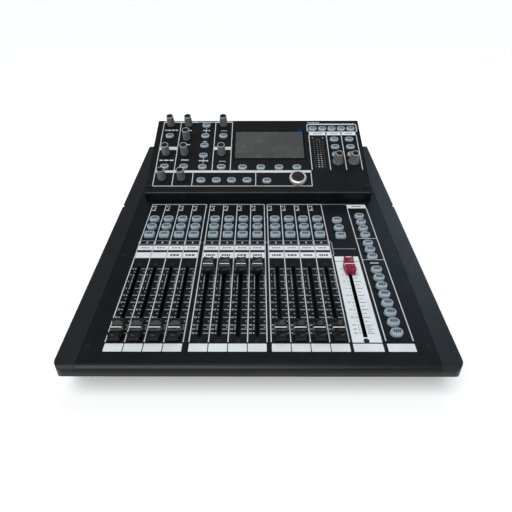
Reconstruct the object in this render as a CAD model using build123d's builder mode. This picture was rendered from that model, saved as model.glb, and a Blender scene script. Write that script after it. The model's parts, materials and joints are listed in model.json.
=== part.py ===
from build123d import *
import os
from math import cos, hypot, radians, sin, sqrt

os.makedirs("parts", exist_ok=True)

# Compact digital mixing console: a low wedge with twelve channel faders and one
# master fader, and a raised bridge at the back that carries the screen and knobs.
# Millimetres. X runs to the right, Y away from the operator, Z up. The origin is
# the centre of the footprint, on the table.

# ---- Driving dimensions ----
deck_slope = 6.0               # fader deck above the table plane, degrees
bridge_slope = 16.35           # bridge panel above the fader deck, degrees
deck_origin_y = 45.51          # deck reference line: the top of the channel strips
deck_origin_z = 74.6
deck_front_u = -284.0          # along the deck, from the reference line
deck_rear_u = 195.0
nose_front_u = -291.0
nose_radius = 7.0
half_width = 195.6             # half of the overall width
seam_x = 174.8                 # seam between the deck and each cheek
seam_gap = 0.2
deck_thickness = 2.0
sheet = 1.5                    # folded steel sheet
foot_height = 6.0
foot_radius = 10.0

# Fader section
channel_pitch = 19.5
fader_travel = 100.0
slot_length = 110.0
slot_width = 3.6
slot_centre_u = -195.9
travel_centre_u = -196.3       # the caps' travel sits a little forward in the slots
screw_spacing = 120.5          # between the two screws of one fader
group_lines = [-152.9, -69.1, 13.1]    # left edge of each group of four channels
channels_per_group = 4
master_x = 108.3
column_x = 140.6               # key column at the right of the deck

# Keys
key_travel = 1.2
key_clearance = 0.35
flange_rim = 0.9               # key flange outside the key's own outline
flange_height = 0.8
flange_gap = 0.25
stem_size = 4.0
stem_depth = 7.0               # end of a key's stem below the panel surface
board_depth = 9.0              # top of the circuit boards below the panel surface
board_thickness = 1.6
switch_size = 6.0
switch_height = 0.7
channel_key = (13.5, 11.3)     # width, length
column_key = (13.2, 10.4)
bridge_key = (13.2, 9.4)
deck_key_height = 4.0
bridge_key_height = 2.6

# Bridge
bridge_half_width = 163.0
bridge_front_u = 0.8           # front top edge, in deck coordinates
bridge_front_n = 17.7
bridge_length = 161.6
flange_foot_u = 5.2            # the front flange leans back to this line on the deck

# Knobs
knob_height = 18.0
knob_gap = 0.8                 # underside of a knob above the panel
shaft_radius = 3.0
shaft_fit = 0.05               # radial running clearance in the control's bush
shaft_hole = 3.5


# ---- Frames ----
def deck_yz(u, n):
    """World (Y, Z) of a point u along the deck and n above it."""
    slope = radians(deck_slope)
    y = deck_origin_y + u * cos(slope) - n * sin(slope)
    z = deck_origin_z + u * sin(slope) + n * cos(slope)
    return (y, z)


def bridge_un(w, h):
    """Deck coordinates (u, n) of a point w along the bridge panel and h above it."""
    slope = radians(bridge_slope)
    u = bridge_front_u + w * cos(slope) - h * sin(slope)
    n = bridge_front_n + w * sin(slope) + h * cos(slope)
    return (u, n)


def bridge_yz(w, h):
    """World (Y, Z) of a point on the bridge panel."""
    return deck_yz(*bridge_un(w, h))


def tilted_plane(yz, slope):
    """Plane through (0, y, z) with X to the right and its normal tilted back."""
    normal = (0, -sin(radians(slope)), cos(radians(slope)))
    return Plane(origin=(0, yz[0], yz[1]), x_dir=(1, 0, 0), z_dir=normal)


deck_plane = tilted_plane(deck_yz(0, 0), deck_slope)
bridge_plane = tilted_plane(bridge_yz(0, 0), deck_slope + bridge_slope)
rear_y = deck_yz(deck_rear_u, -deck_thickness)[0]
rear_plane = Plane(origin=(0, rear_y, 0), x_dir=(-1, 0, 0), z_dir=(0, 1, 0))

# ---- Layout ----
channel_x = []
for left_line in group_lines:
    for index in range(channels_per_group):
        channel_x.append(left_line + channel_pitch * (index + 0.5))

fader_x = channel_x + [master_x]
fader_ends = [slot_centre_u - screw_spacing / 2, slot_centre_u + screw_spacing / 2]

select_u = -40.3
on_u = -58.5
listen_u = -76.6
master_key_points = [(master_x, u) for u in (-43.5, -61.5, -79.0)]
column_upper_u = [-33.5, -48.3, -63.1, -77.8]
column_middle_u = [-96.0, -109.4, -123.4]
column_lower_first_u = -148.2
column_lower_pitch = 14.0
column_lower_count = 8

select_points = [(x, select_u) for x in channel_x]
on_points = [(x, on_u) for x in channel_x]
listen_points = [(x, listen_u) for x in channel_x]
column_upper_points = [(column_x, u) for u in column_upper_u]
column_middle_points = [(column_x, u) for u in column_middle_u]
column_lower_points = []
for index in range(column_lower_count):
    column_lower_points.append((column_x, column_lower_first_u - column_lower_pitch * index))

channel_points = select_points + on_points + listen_points
column_points = column_upper_points + column_middle_points + column_lower_points
deck_points = channel_points + master_key_points + column_points

page_first_x = 87.9
page_pitch = 15.2
page_count = 5
page_w = 140.6
page_points = [(page_first_x + page_pitch * i, page_w) for i in range(page_count)]
gain_points = [(-140.6, 123.8), (-140.6, 54.2), (-112.1, 54.2), (-55.3, 123.4), (-55.3, 53.3)]
filter_points = [(-83.8, w) for w in (149.1, 123.4, 101.2, 78.3, 53.3)]
screen_points = [(x, 52.4) for x in (-23.3, 4.1, 31.3, 58.1)]
function_points = [(x, 25.7) for x in (-83.7, -61.2, -38.9, -16.2)] + [(12.7, 24.6)]
monitor_points = [(x, w) for w in (114.9, 97.5, 80.6) for x in (119.9, 143.6)]
left_key_points = gain_points + filter_points
middle_key_points = screen_points + function_points
right_key_points = page_points + monitor_points
bridge_points = left_key_points + middle_key_points + right_key_points

small_knob_points = [
    (-141.3, 151.0),
    (-112.8, 151.0),
    (-56.0, 151.0),
    (-112.8, 117.4),
    (-141.3, 82.9),
    (-112.8, 82.7),
    (-56.0, 82.7),
    (-141.3, 30.3),
    (-112.8, 29.8),
]
level_knob_points = [(120.6, 64.2), (144.5, 64.2)]
dial_point = (58.0, 26.7)
shaft_points = small_knob_points + level_knob_points + [dial_point]

screen_centre = (17.6, 103.5)
screen_size = (106.0, 60.6)
window_size = (114.0, 71.0)
meter_centre = (94.5, 85.5)
meter_size = (23.0, 71.0)

case_screw_hole = 1.6          # radius, in the sheets
case_screw_shank = 1.5
deck_screw_points = [(x, u) for x in (-169.4, 169.4) for u in (-262.0, -116.7)]
bridge_screw_points = [(-157.9, 14.0), (157.9, 14.0)]
cable_window_points = [(-70.0, 100.0), (70.0, 100.0)]    # under the bridge
cable_window = (44.0, 30.0)


# ---- Sketch helpers, used inside a BuildSketch block ----
def slot_shapes(points, size, grow=0.0):
    """Rounded-end outlines: the key's width and length, grown on every side."""
    with Locations(*points):
        SlotOverall(size[0] + 2 * grow, size[1] + 2 * grow)


def rounded_shapes(points, size, radius, grow=0.0):
    """Rounded rectangles, grown on every side."""
    with Locations(*points):
        RectangleRounded(size[0] + 2 * grow, size[1] + 2 * grow, radius + grow)


def circle_shapes(points, radius):
    with Locations(*points):
        Circle(radius)


def square_shapes(points, size):
    with Locations(*points):
        Rectangle(size, size)


select_radius = 4.6
listen_radius = 2.6


def deck_key_outlines(grow):
    """All key openings of the deck."""
    rounded_shapes(select_points, channel_key, select_radius, grow)
    slot_shapes(on_points, channel_key, grow)
    rounded_shapes(listen_points, channel_key, listen_radius, grow)
    rounded_shapes(master_key_points[:1], channel_key, select_radius, grow)
    slot_shapes(master_key_points[1:2], channel_key, grow)
    rounded_shapes(master_key_points[2:], channel_key, listen_radius, grow)
    slot_shapes(column_points, column_key, grow)


# ---- Enclosure ----
# Side outline of the front edge, shared by the nose and the cheeks.
nose_lip_u = -276.0
nose_face_n = -11.0            # lower end of the upright front face
nose_under_u = -288.0
nose_under_n = -14.0
pan_front_y = deck_origin_y - 250.0    # front foot of the sloping chin
rear_top = deck_yz(deck_rear_u, 0)


def nose_outline():
    """Rounded front edge, from the deck surface down to the underside."""
    arc_drop = nose_radius * (1 - sqrt(0.5))
    start = deck_yz(nose_front_u + nose_radius, 0)
    middle = deck_yz(nose_front_u + arc_drop, -arc_drop)
    end = deck_yz(nose_front_u, -nose_radius)
    ThreePointArc(start, middle, end)
    Polyline(end, deck_yz(nose_front_u, nose_face_n), deck_yz(nose_under_u, nose_under_n))


# Front nose: a bar between the cheeks, with a lip that carries the deck's front edge.
with BuildPart() as front_nose:
    with BuildSketch(Plane.YZ):
        with BuildLine():
            nose_outline()
            Polyline(
                deck_yz(nose_under_u, nose_under_n),
                deck_yz(nose_lip_u - 1.0, nose_under_n - 2.0),
                deck_yz(nose_lip_u - 1.0, -deck_thickness),
                deck_yz(deck_front_u, -deck_thickness),
                deck_yz(deck_front_u, 0),
            )
        make_face()
    extrude(amount=seam_x - seam_gap, both=True)
front_nose.part.label = "front_nose"
export_step(front_nose.part, "parts/front_nose.step")

# Cheeks: moulded end pieces, flush with the deck, hollow on the inner side.
cheek_bottom_z = foot_height + 1.0
cheek_corner = 11.0
cheek_wall = 3.0
cheek_outer_wall = 7.0
notch_u = -8.0
notch_length = 7.0
notch_depth = 2.3


def cheek_outline():
    nose_outline()
    Polyline(
        deck_yz(nose_under_u, nose_under_n),
        (pan_front_y - 4.0, cheek_bottom_z),
        (rear_top[0], cheek_bottom_z),
        rear_top,
        deck_yz(nose_front_u + nose_radius, 0),
    )


def make_cheek(name, side):
    """One end cheek; side is -1 for the left and +1 for the right."""
    inner_plane = Plane.YZ.offset(side * seam_x)
    depth = half_width - seam_x
    notch_y = deck_yz(notch_u, 0)[0]
    with BuildPart() as cheek:
        with BuildSketch(inner_plane):
            with BuildLine():
                cheek_outline()
            make_face()
        extrude(amount=side * depth)
        # The plan view rounds the front outer corner and cuts the notch.
        with BuildSketch(Plane.XY):
            with BuildLine():
                front_y = deck_yz(nose_front_u, -nose_radius)[0]
                corner_x = half_width - cheek_corner
                bend = cheek_corner * (1 - sqrt(0.5))
                Polyline((side * corner_x, front_y), (side * seam_x, front_y))
                Polyline(
                    (side * seam_x, front_y),
                    (side * seam_x, rear_top[0]),
                    (side * half_width, rear_top[0]),
                    (side * half_width, notch_y + notch_length),
                    (side * (half_width - notch_depth), notch_y + 0.6 * notch_length),
                    (side * (half_width - notch_depth), notch_y + 0.3 * notch_length),
                    (side * half_width, notch_y),
                    (side * half_width, front_y + cheek_corner),
                )
                ThreePointArc(
                    (side * half_width, front_y + cheek_corner),
                    (side * (half_width - bend), front_y + bend),
                    (side * corner_x, front_y),
                )
            make_face()
        extrude(amount=2 * deck_origin_z, mode=Mode.INTERSECT)
        with BuildSketch(inner_plane):
            with BuildLine():
                cheek_outline()
            make_face()
            offset(amount=-cheek_wall, mode=Mode.REPLACE)
        extrude(amount=side * (depth - cheek_outer_wall), mode=Mode.SUBTRACT)
    cheek.part.label = name
    export_step(cheek.part, f"parts/{name}.step")


make_cheek("left_cheek", -1)
make_cheek("right_cheek", 1)

# Base pan: folded steel tray with a sloping chin, side flanges under the deck,
# pressed stand-offs for the main board, and the connector wall at the back.
pan_half_width = seam_x - seam_gap
flange_width = 10.0
standoff_radius = 3.0
standoff_hole = 1.3
main_board_z = 14.0
main_board_x = (-88.0, 166.0)
main_board_y = (62.0, 214.0)
inset = 6.0
standoff_points = [
    (x, y)
    for x in (main_board_x[0] + inset, 39.0, main_board_x[1] - inset)
    for y in (main_board_y[0] + inset, main_board_y[1] - inset)
]
foot_points = [(x, y) for x in (-150.0, 150.0) for y in (-178.0, 216.0)]
foot_screw_hole = 1.6

xlr_pitch = 28.0
xlr_first_x = -141.0
xlr_rows_z = (34.0, 68.0)
xlr_points = [(xlr_first_x + xlr_pitch * i, z) for z in xlr_rows_z for i in range(8)]
xlr_hole = 12.0
jack_points = [(x, z) for x in (80.0, 99.0) for z in (56.0, 76.0)]
jack_hole = 6.0
usb_point = (80.0, 29.0)
usb_size = (12.4, 11.4)
network_point = (100.5, 29.0)
network_size = (16.4, 13.6)
module_point = (142.0, 45.0)
module_cutout = (27.6, 58.0)

chin_top = deck_yz(nose_lip_u, -deck_thickness)
rear_under = deck_yz(deck_rear_u, -deck_thickness)

with BuildPart() as base_pan:
    with BuildSketch(Plane.YZ):
        Polygon(
            chin_top,
            (pan_front_y, foot_height),
            (rear_y, foot_height),
            rear_under,
            align=None,
        )
    extrude(amount=pan_half_width, both=True)
    with BuildSketch(Plane.YZ):
        Polygon(
            deck_yz(nose_lip_u + 2.0, -deck_thickness),
            deck_yz(nose_lip_u + 2.0, -deck_thickness - 0.01),
            (pan_front_y + 2.0, foot_height + sheet),
            (rear_y - sheet, foot_height + sheet),
            (rear_y - sheet, rear_under[1] + 1.0),
            align=None,
        )
    extrude(amount=pan_half_width - sheet, both=True, mode=Mode.SUBTRACT)
    flange_x = pan_half_width - flange_width / 2
    flange_length = deck_rear_u - nose_lip_u - 8.0
    flange_mid_u = (deck_rear_u + nose_lip_u) / 2
    with BuildSketch(deck_plane.offset(-deck_thickness)):
        with Locations((-flange_x, flange_mid_u), (flange_x, flange_mid_u)):
            Rectangle(flange_width, flange_length)
    extrude(amount=-sheet)
    with BuildSketch(deck_plane):
        circle_shapes(deck_screw_points, case_screw_hole)
    extrude(amount=-2 * deck_thickness, mode=Mode.SUBTRACT)
    with BuildSketch(Plane.XY.offset(foot_height + sheet)):
        circle_shapes(standoff_points, standoff_radius)
    extrude(amount=main_board_z - foot_height - sheet)
    with BuildSketch(Plane.XY.offset(main_board_z)):
        circle_shapes(standoff_points, standoff_hole)
    extrude(amount=-5.0, mode=Mode.SUBTRACT)
    with BuildSketch(Plane.XY.offset(foot_height)):
        circle_shapes(foot_points, foot_screw_hole)
    extrude(amount=sheet, mode=Mode.SUBTRACT)
    with BuildSketch(rear_plane):
        circle_shapes(xlr_points, xlr_hole)
        circle_shapes(jack_points, jack_hole)
        with Locations(usb_point):
            Rectangle(*usb_size)
        with Locations(network_point):
            Rectangle(*network_size)
        with Locations(module_point):
            Rectangle(*module_cutout)
    extrude(amount=-sheet, mode=Mode.SUBTRACT)
base_pan.part.label = "base_pan"
export_step(base_pan.part, "parts/base_pan.step")

# Deck panel: the flat top plate, with fader slots, key openings and screw seats.
screw_head_radius = 2.6
screw_head_height = 1.1
screw_shank_radius = 1.4
seat_gap = 0.15
case_head_radius = 3.1
fader_screw_points = [(x, u) for x in fader_x for u in fader_ends]
slot_points = [(x, slot_centre_u) for x in fader_x]

with BuildPart() as deck_panel:
    with BuildSketch(deck_plane):
        with Locations((0, (deck_front_u + deck_rear_u) / 2)):
            Rectangle(2 * (seam_x - seam_gap), deck_rear_u - deck_front_u)
    extrude(amount=-deck_thickness)
    with BuildSketch(deck_plane):
        with Locations(*slot_points):
            Rectangle(slot_width, slot_length)
        circle_shapes(fader_screw_points, screw_shank_radius + seat_gap)
        circle_shapes(deck_screw_points, case_screw_hole)
        deck_key_outlines(key_clearance)
        rounded_shapes(cable_window_points, cable_window, 3.0)
    extrude(amount=-deck_thickness, mode=Mode.SUBTRACT)
    with BuildSketch(deck_plane):
        circle_shapes(fader_screw_points, screw_head_radius + seat_gap)
        circle_shapes(deck_screw_points, case_head_radius + seat_gap)
    extrude(amount=-screw_head_height - 0.1, mode=Mode.SUBTRACT)
deck_panel.part.label = "deck_panel"
export_step(deck_panel.part, "parts/deck_panel.step")

# Bridge cover: folded sheet with a leaning front flange, a top panel and two sides.
bend_radius = 2.0
flange_inner_w = 2.1           # inside of the front bend, along the panel
rear_foot = (deck_rear_u - 0.4, 0.0)
bridge_back = bridge_un(bridge_length, 0)

with BuildPart() as bridge_cover:
    with BuildSketch(Plane.YZ):
        with BuildLine():
            Polyline(
                deck_yz(flange_foot_u, 0),
                bridge_yz(0, 0),
                bridge_yz(bridge_length, 0),
                deck_yz(*rear_foot),
                deck_yz(flange_foot_u, 0),
            )
        make_face()
    extrude(amount=bridge_half_width, both=True)
    front_edges = bridge_cover.edges().filter_by(Axis.X).sort_by(Axis.Y)
    fillet(front_edges[0:1], bend_radius)
    inner_back = bridge_un(bridge_length + 3.0, -sheet)
    with BuildSketch(Plane.YZ):
        with BuildLine():
            Polyline(
                deck_yz(flange_foot_u + sheet, -1.0),
                deck_yz(flange_foot_u + sheet, 0),
                deck_yz(*bridge_un(flange_inner_w, -sheet)),
                deck_yz(*inner_back),
                deck_yz(deck_rear_u + 5.0, 0),
                deck_yz(deck_rear_u + 5.0, -1.0),
                deck_yz(flange_foot_u + sheet, -1.0),
            )
        make_face()
    extrude(amount=bridge_half_width - sheet, both=True, mode=Mode.SUBTRACT)
    with BuildSketch(bridge_plane):
        slot_shapes(bridge_points, bridge_key, key_clearance)
        circle_shapes(shaft_points, shaft_hole)
        circle_shapes(bridge_screw_points, case_screw_hole)
        rounded_shapes([screen_centre], window_size, 2.0, 0.15)
        rounded_shapes([meter_centre], meter_size, 1.0, 0.15)
    extrude(amount=-sheet, mode=Mode.SUBTRACT)
bridge_cover.part.label = "bridge_cover"
export_step(bridge_cover.part, "parts/bridge_cover.step")

# Rear panel: the sloping plate that closes the bridge, with vent slots.
panel_start = 1.8
panel_run = (rear_foot[0] - bridge_back[0], rear_foot[1] - bridge_back[1])
panel_length = hypot(*panel_run)
panel_end = panel_length - 1.3
panel_dir = (panel_run[0] / panel_length, panel_run[1] / panel_length)


def rear_un(s, depth):
    """Deck coordinates of a point s down the rear panel and depth below its surface."""
    u = bridge_back[0] + s * panel_dir[0] + depth * panel_dir[1]
    n = bridge_back[1] + s * panel_dir[1] - depth * panel_dir[0]
    return (u, n)


rear_corner = deck_yz(*rear_un(0, 0))
rear_down = deck_yz(*rear_un(1, 0))
rear_out = (rear_corner[1] - rear_down[1], rear_down[0] - rear_corner[0])
vent_plane = Plane(
    origin=(0, rear_corner[0], rear_corner[1]),
    x_dir=(-1, 0, 0),
    z_dir=(0, rear_out[0], rear_out[1]),
)
vent_length = 34.0
vent_width = 2.6
vent_pitch = 7.0
vent_count = 30

with BuildPart() as rear_panel:
    with BuildSketch(Plane.YZ):
        Polygon(
            deck_yz(*rear_un(panel_start, 0)),
            deck_yz(*rear_un(panel_start, sheet)),
            deck_yz(*rear_un(panel_end, sheet)),
            deck_yz(*rear_un(panel_end, 0)),
            align=None,
        )
    extrude(amount=bridge_half_width - sheet - 0.1, both=True)
    with BuildSketch(vent_plane):
        with Locations((0, -panel_length / 2)):
            with GridLocations(vent_pitch, 0, vent_count, 1):
                SlotOverall(vent_length, vent_width, rotation=90)
    extrude(amount=-sheet, mode=Mode.SUBTRACT)
rear_panel.part.label = "rear_panel"
export_step(rear_panel.part, "parts/rear_panel.step")

# Feet: rubber discs under the pan's fixing holes, chamfered at the lower edge.
foot_chamfer = 1.2

with BuildPart() as feet:
    with BuildSketch(Plane.XY):
        circle_shapes(foot_points, foot_radius)
    extrude(amount=foot_height)
    chamfer(feet.faces().filter_by(Axis.Z).group_by(Axis.Z)[0].edges(), foot_chamfer)
feet.part.label = "feet"
export_step(feet.part, "parts/feet.step")

# Case screws: hexagon-socket heads at the deck margins and on the bridge.
hex_radius = 1.6
hex_depth = 0.8
bridge_head_height = 1.6
head_recess = 0.2              # the deck heads stand this far below the surface
deck_shank_length = 8.0
bridge_shank_length = 6.0

with BuildPart() as case_screws:
    with BuildSketch(deck_plane.offset(-screw_head_height)):
        circle_shapes(deck_screw_points, case_head_radius)
    extrude(amount=screw_head_height - head_recess)
    with BuildSketch(deck_plane.offset(-screw_head_height)):
        circle_shapes(deck_screw_points, case_screw_shank)
    extrude(amount=-deck_shank_length)
    with BuildSketch(deck_plane):
        with Locations(*deck_screw_points):
            RegularPolygon(hex_radius, 6)
    extrude(amount=-head_recess - hex_depth, mode=Mode.SUBTRACT)
    with BuildSketch(bridge_plane):
        circle_shapes(bridge_screw_points, case_head_radius)
    extrude(amount=bridge_head_height)
    with BuildSketch(bridge_plane):
        circle_shapes(bridge_screw_points, case_screw_shank)
    extrude(amount=-bridge_shank_length)
    with BuildSketch(bridge_plane.offset(bridge_head_height)):
        with Locations(*bridge_screw_points):
            RegularPolygon(hex_radius, 6)
    extrude(amount=-hex_depth, mode=Mode.SUBTRACT)
case_screws.part.label = "case_screws"
export_step(case_screws.part, "parts/case_screws.step")

# ---- Screen and meter ----
window_thickness = 1.8
with BuildPart() as display_window:
    with BuildSketch(bridge_plane):
        rounded_shapes([screen_centre], window_size, 2.0)
    extrude(amount=-window_thickness)
display_window.part.label = "display_window"
export_step(display_window.part, "parts/display_window.step")

module_border = 6.0
with BuildPart() as display_module:
    with BuildSketch(bridge_plane.offset(-window_thickness - 0.1)):
        with Locations(screen_centre):
            Rectangle(window_size[0] + module_border, window_size[1] + module_border)
    extrude(amount=-(board_depth - window_thickness - 0.3))
display_module.part.label = "display_module"
export_step(display_module.part, "parts/display_module.step")

# Protective film on the glass, with a pull tab at its far right corner.
film_thickness = 0.15
tab_size = (6.4, 8.0)
with BuildPart() as screen_film:
    with BuildSketch(bridge_plane):
        rounded_shapes([screen_centre], screen_size, 0.6)
    extrude(amount=film_thickness)
    tab_x = screen_centre[0] + screen_size[0] / 2 - tab_size[0] / 2
    tab_w = screen_centre[1] + screen_size[1] / 2 - tab_size[1] / 2 + 1.5
    with BuildSketch(bridge_plane.offset(film_thickness)):
        rounded_shapes([(tab_x, tab_w)], tab_size, 0.8)
    extrude(amount=film_thickness)
screen_film.part.label = "screen_film"
export_step(screen_film.part, "parts/screen_film.step")

with BuildPart() as level_meter:
    with BuildSketch(bridge_plane):
        rounded_shapes([meter_centre], meter_size, 1.0)
    extrude(amount=-sheet - 0.2)
    with BuildSketch(bridge_plane.offset(-sheet - 0.2)):
        with Locations(meter_centre):
            Rectangle(meter_size[0] - 3.0, meter_size[1] - 3.0)
    extrude(amount=-(board_depth - sheet - 0.3))
level_meter.part.label = "level_meter"
export_step(level_meter.part, "parts/level_meter.step")

# ---- Faders ----
# Each fader is a long metal track under the deck. A carriage runs in it and
# holds a flat lever that comes up through the slot into the cap.
track_width = 9.6
track_length = 129.0
track_depth = 12.0             # bottom of the track below the deck surface
channel_width = 6.0
channel_length = 112.0
channel_floor = 10.5
carriage_width = 5.4
carriage_length = 8.0
carriage_top = 4.0
carriage_bottom = 10.0
blade_thickness = 1.2
blade_length = 4.0
blade_grip = 2.4               # length of the blade inside the cap
cap_length = 24.6
cap_bottom = 3.0
cap_base_half = 7.0            # half width at the bottom edge
cap_waist_half = 6.4
cap_waist_n = 5.5
cap_top_half = 5.5
cap_lip_n = 12.2               # corners of the two raised lips
cap_lip_middle_n = 10.3        # the lips dip to this height in the middle
cap_lip_u = 8.7                # inner edge of a lip's crest
cap_crest = 1.4                # length of the crest
cap_shoulder_n = 7.5           # the end faces round over above this height
cap_valley_u = 3.2
cap_valley_n = 7.4
cap_hollow_u = 6.8             # a point on the curve from the valley up to the lip
cap_hollow_n = 9.1
cap_ridge_half = 0.7
cap_ridge_n = 9.3

with BuildPart() as fader_tracks:
    with BuildSketch(deck_plane.offset(-deck_thickness)):
        with Locations(*slot_points):
            Rectangle(track_width, track_length)
    extrude(amount=-(track_depth - deck_thickness))
    with BuildSketch(deck_plane.offset(-deck_thickness)):
        with Locations(*slot_points):
            Rectangle(channel_width, channel_length)
    extrude(amount=-(channel_floor - deck_thickness), mode=Mode.SUBTRACT)
    with BuildSketch(deck_plane.offset(-deck_thickness)):
        circle_shapes(fader_screw_points, screw_shank_radius + 0.05)
    extrude(amount=-6.0, mode=Mode.SUBTRACT)
fader_tracks.part.label = "fader_tracks"
export_step(fader_tracks.part, "parts/fader_tracks.step")

cross_depth = 0.6
cross_length = 2.8
cross_width = 0.7
with BuildPart() as fader_screws:
    with BuildSketch(deck_plane.offset(-screw_head_height)):
        circle_shapes(fader_screw_points, screw_head_radius)
    extrude(amount=screw_head_height - 0.05)
    with BuildSketch(deck_plane.offset(-screw_head_height)):
        circle_shapes(fader_screw_points, screw_shank_radius)
    extrude(amount=-6.0)
    with BuildSketch(deck_plane):
        with Locations(*fader_screw_points):
            Rectangle(cross_length, cross_width)
            Rectangle(cross_width, cross_length)
    extrude(amount=-cross_depth, mode=Mode.SUBTRACT)
fader_screws.part.label = "fader_screws"
export_step(fader_screws.part, "parts/fader_screws.step")


def cap_half_profile(rest_u, way):
    """One half of a cap's side outline, from the ridge out to the bottom edge."""
    half = cap_length / 2
    crest_end = cap_lip_u + cap_crest
    ridge = deck_yz(rest_u + way * cap_ridge_half, cap_ridge_n)
    valley = deck_yz(rest_u + way * cap_valley_u, cap_valley_n)
    lip = deck_yz(rest_u + way * cap_lip_u, cap_lip_n)
    crest = deck_yz(rest_u + way * crest_end, cap_lip_n)
    hollow = deck_yz(rest_u + way * cap_hollow_u, cap_hollow_n)
    round_u = (crest_end + 2 * half) / 3
    shoulder = deck_yz(rest_u + way * round_u, (2 * cap_lip_n + cap_shoulder_n) / 3)
    Line(ridge, valley)
    ThreePointArc(valley, hollow, lip)
    Line(lip, crest)
    ThreePointArc(crest, shoulder, deck_yz(rest_u + way * half, cap_shoulder_n))
    Polyline(
        deck_yz(rest_u + way * half, cap_shoulder_n),
        deck_yz(rest_u + way * half, cap_bottom),
        deck_yz(rest_u, cap_bottom),
    )


def make_fader(name, x, rest_u):
    """Cap and metal lever of one fader, at its resting place."""
    slope = radians(deck_slope)
    cap_y, cap_z = deck_yz(rest_u, 0)
    across = Plane(origin=(x, cap_y, cap_z), x_dir=(1, 0, 0), z_dir=(0, -cos(slope), -sin(slope)))
    # Cap: a low ridge between two finger hollows that rise to raised lips.
    with BuildPart() as cap:
        with BuildSketch(Plane.YZ.offset(x)):
            with BuildLine():
                cap_half_profile(rest_u, 1)
                cap_half_profile(rest_u, -1)
                Line(
                    deck_yz(rest_u - cap_ridge_half, cap_ridge_n),
                    deck_yz(rest_u + cap_ridge_half, cap_ridge_n),
                )
            make_face()
        extrude(amount=cap_base_half, both=True)
        # Seen along the slot, the sides flare to the bottom and the lips are dished.
        with BuildSketch(across):
            with BuildLine():
                Polyline(
                    (cap_top_half, cap_lip_n),
                    (cap_waist_half, cap_waist_n),
                    (cap_base_half, cap_bottom),
                    (-cap_base_half, cap_bottom),
                    (-cap_waist_half, cap_waist_n),
                    (-cap_top_half, cap_lip_n),
                )
                ThreePointArc(
                    (-cap_top_half, cap_lip_n),
                    (0, cap_lip_middle_n),
                    (cap_top_half, cap_lip_n),
                )
            make_face()
        extrude(amount=cap_length, both=True, mode=Mode.INTERSECT)
        with BuildSketch(deck_plane.offset(cap_bottom)):
            with Locations((x, rest_u)):
                Rectangle(blade_thickness, blade_length)
        extrude(amount=blade_grip, mode=Mode.SUBTRACT)
    # Lever: a flat blade up into the cap, on the carriage that runs in the track.
    with BuildPart() as lever:
        with BuildSketch(deck_plane.offset(cap_bottom + blade_grip)):
            with Locations((x, rest_u)):
                Rectangle(blade_thickness, blade_length)
        extrude(amount=-(cap_bottom + blade_grip + carriage_top))
        with BuildSketch(deck_plane.offset(-carriage_top)):
            with Locations((x, rest_u)):
                Rectangle(carriage_width, carriage_length)
        extrude(amount=-(carriage_bottom - carriage_top))
    fader = Compound(label=name, children=[cap.part, lever.part])
    export_step(fader, f"parts/{name}.step")


low_u = travel_centre_u - fader_travel / 2
high_u = travel_centre_u + fader_travel / 2
for index, x in enumerate(channel_x):
    raised = channels_per_group <= index < 2 * channels_per_group
    make_fader(f"fader_{index + 1}", x, high_u if raised else low_u)
make_fader("master_fader", master_x, high_u)


# ---- Keys ----
def make_keys(name, plane, height, groups):
    """Keys of one keypad. A group is its points, its size and its corner radius."""
    with BuildPart() as keys:
        for points, size, radius in groups:
            with BuildSketch(plane.offset(-deck_thickness - flange_gap)):
                if radius is None:
                    slot_shapes(points, size)
                else:
                    rounded_shapes(points, size, radius)
            extrude(amount=height + deck_thickness + flange_gap)
            with BuildSketch(plane.offset(-deck_thickness - flange_gap)):
                if radius is None:
                    slot_shapes(points, size, flange_rim)
                else:
                    rounded_shapes(points, size, radius, flange_rim)
            extrude(amount=-flange_height)
            with BuildSketch(plane.offset(-deck_thickness - flange_gap - flange_height)):
                square_shapes(points, stem_size)
            extrude(amount=-(stem_depth - deck_thickness - flange_gap - flange_height))
    keys.part.label = name
    export_step(keys.part, f"parts/{name}.step")


deck_h = deck_key_height
bridge_h = bridge_key_height
make_keys("select_keys", deck_plane, deck_h, [(select_points, channel_key, select_radius)])
make_keys("on_keys", deck_plane, deck_h, [(on_points, channel_key, None)])
make_keys("listen_keys", deck_plane, deck_h, [(listen_points, channel_key, listen_radius)])
master_groups = [
    (master_key_points[:1], channel_key, select_radius),
    (master_key_points[1:2], channel_key, None),
    (master_key_points[2:], channel_key, listen_radius),
]
make_keys("master_keys", deck_plane, deck_h, master_groups)
upper_column = column_upper_points + column_middle_points
make_keys("layer_keys", deck_plane, deck_h, [(upper_column, column_key, None)])
make_keys("send_keys", deck_plane, deck_h, [(column_lower_points, column_key, None)])
make_keys("input_keys", bridge_plane, bridge_h, [(left_key_points, bridge_key, None)])
make_keys("screen_keys", bridge_plane, bridge_h, [(middle_key_points, bridge_key, None)])
make_keys("monitor_keys", bridge_plane, bridge_h, [(right_key_points, bridge_key, None)])

# ---- Knobs ----
shaft_bottom = 8.2             # lower end of each shaft below the panel surface
control_size = 11.6
control_top = 2.0
ring_height = 1.0
ring_width = 1.0
ring_proud = 0.2               # the ring stands this much above the knob's face
shaft_grip = 12.0              # length of the shaft inside the knob


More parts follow.
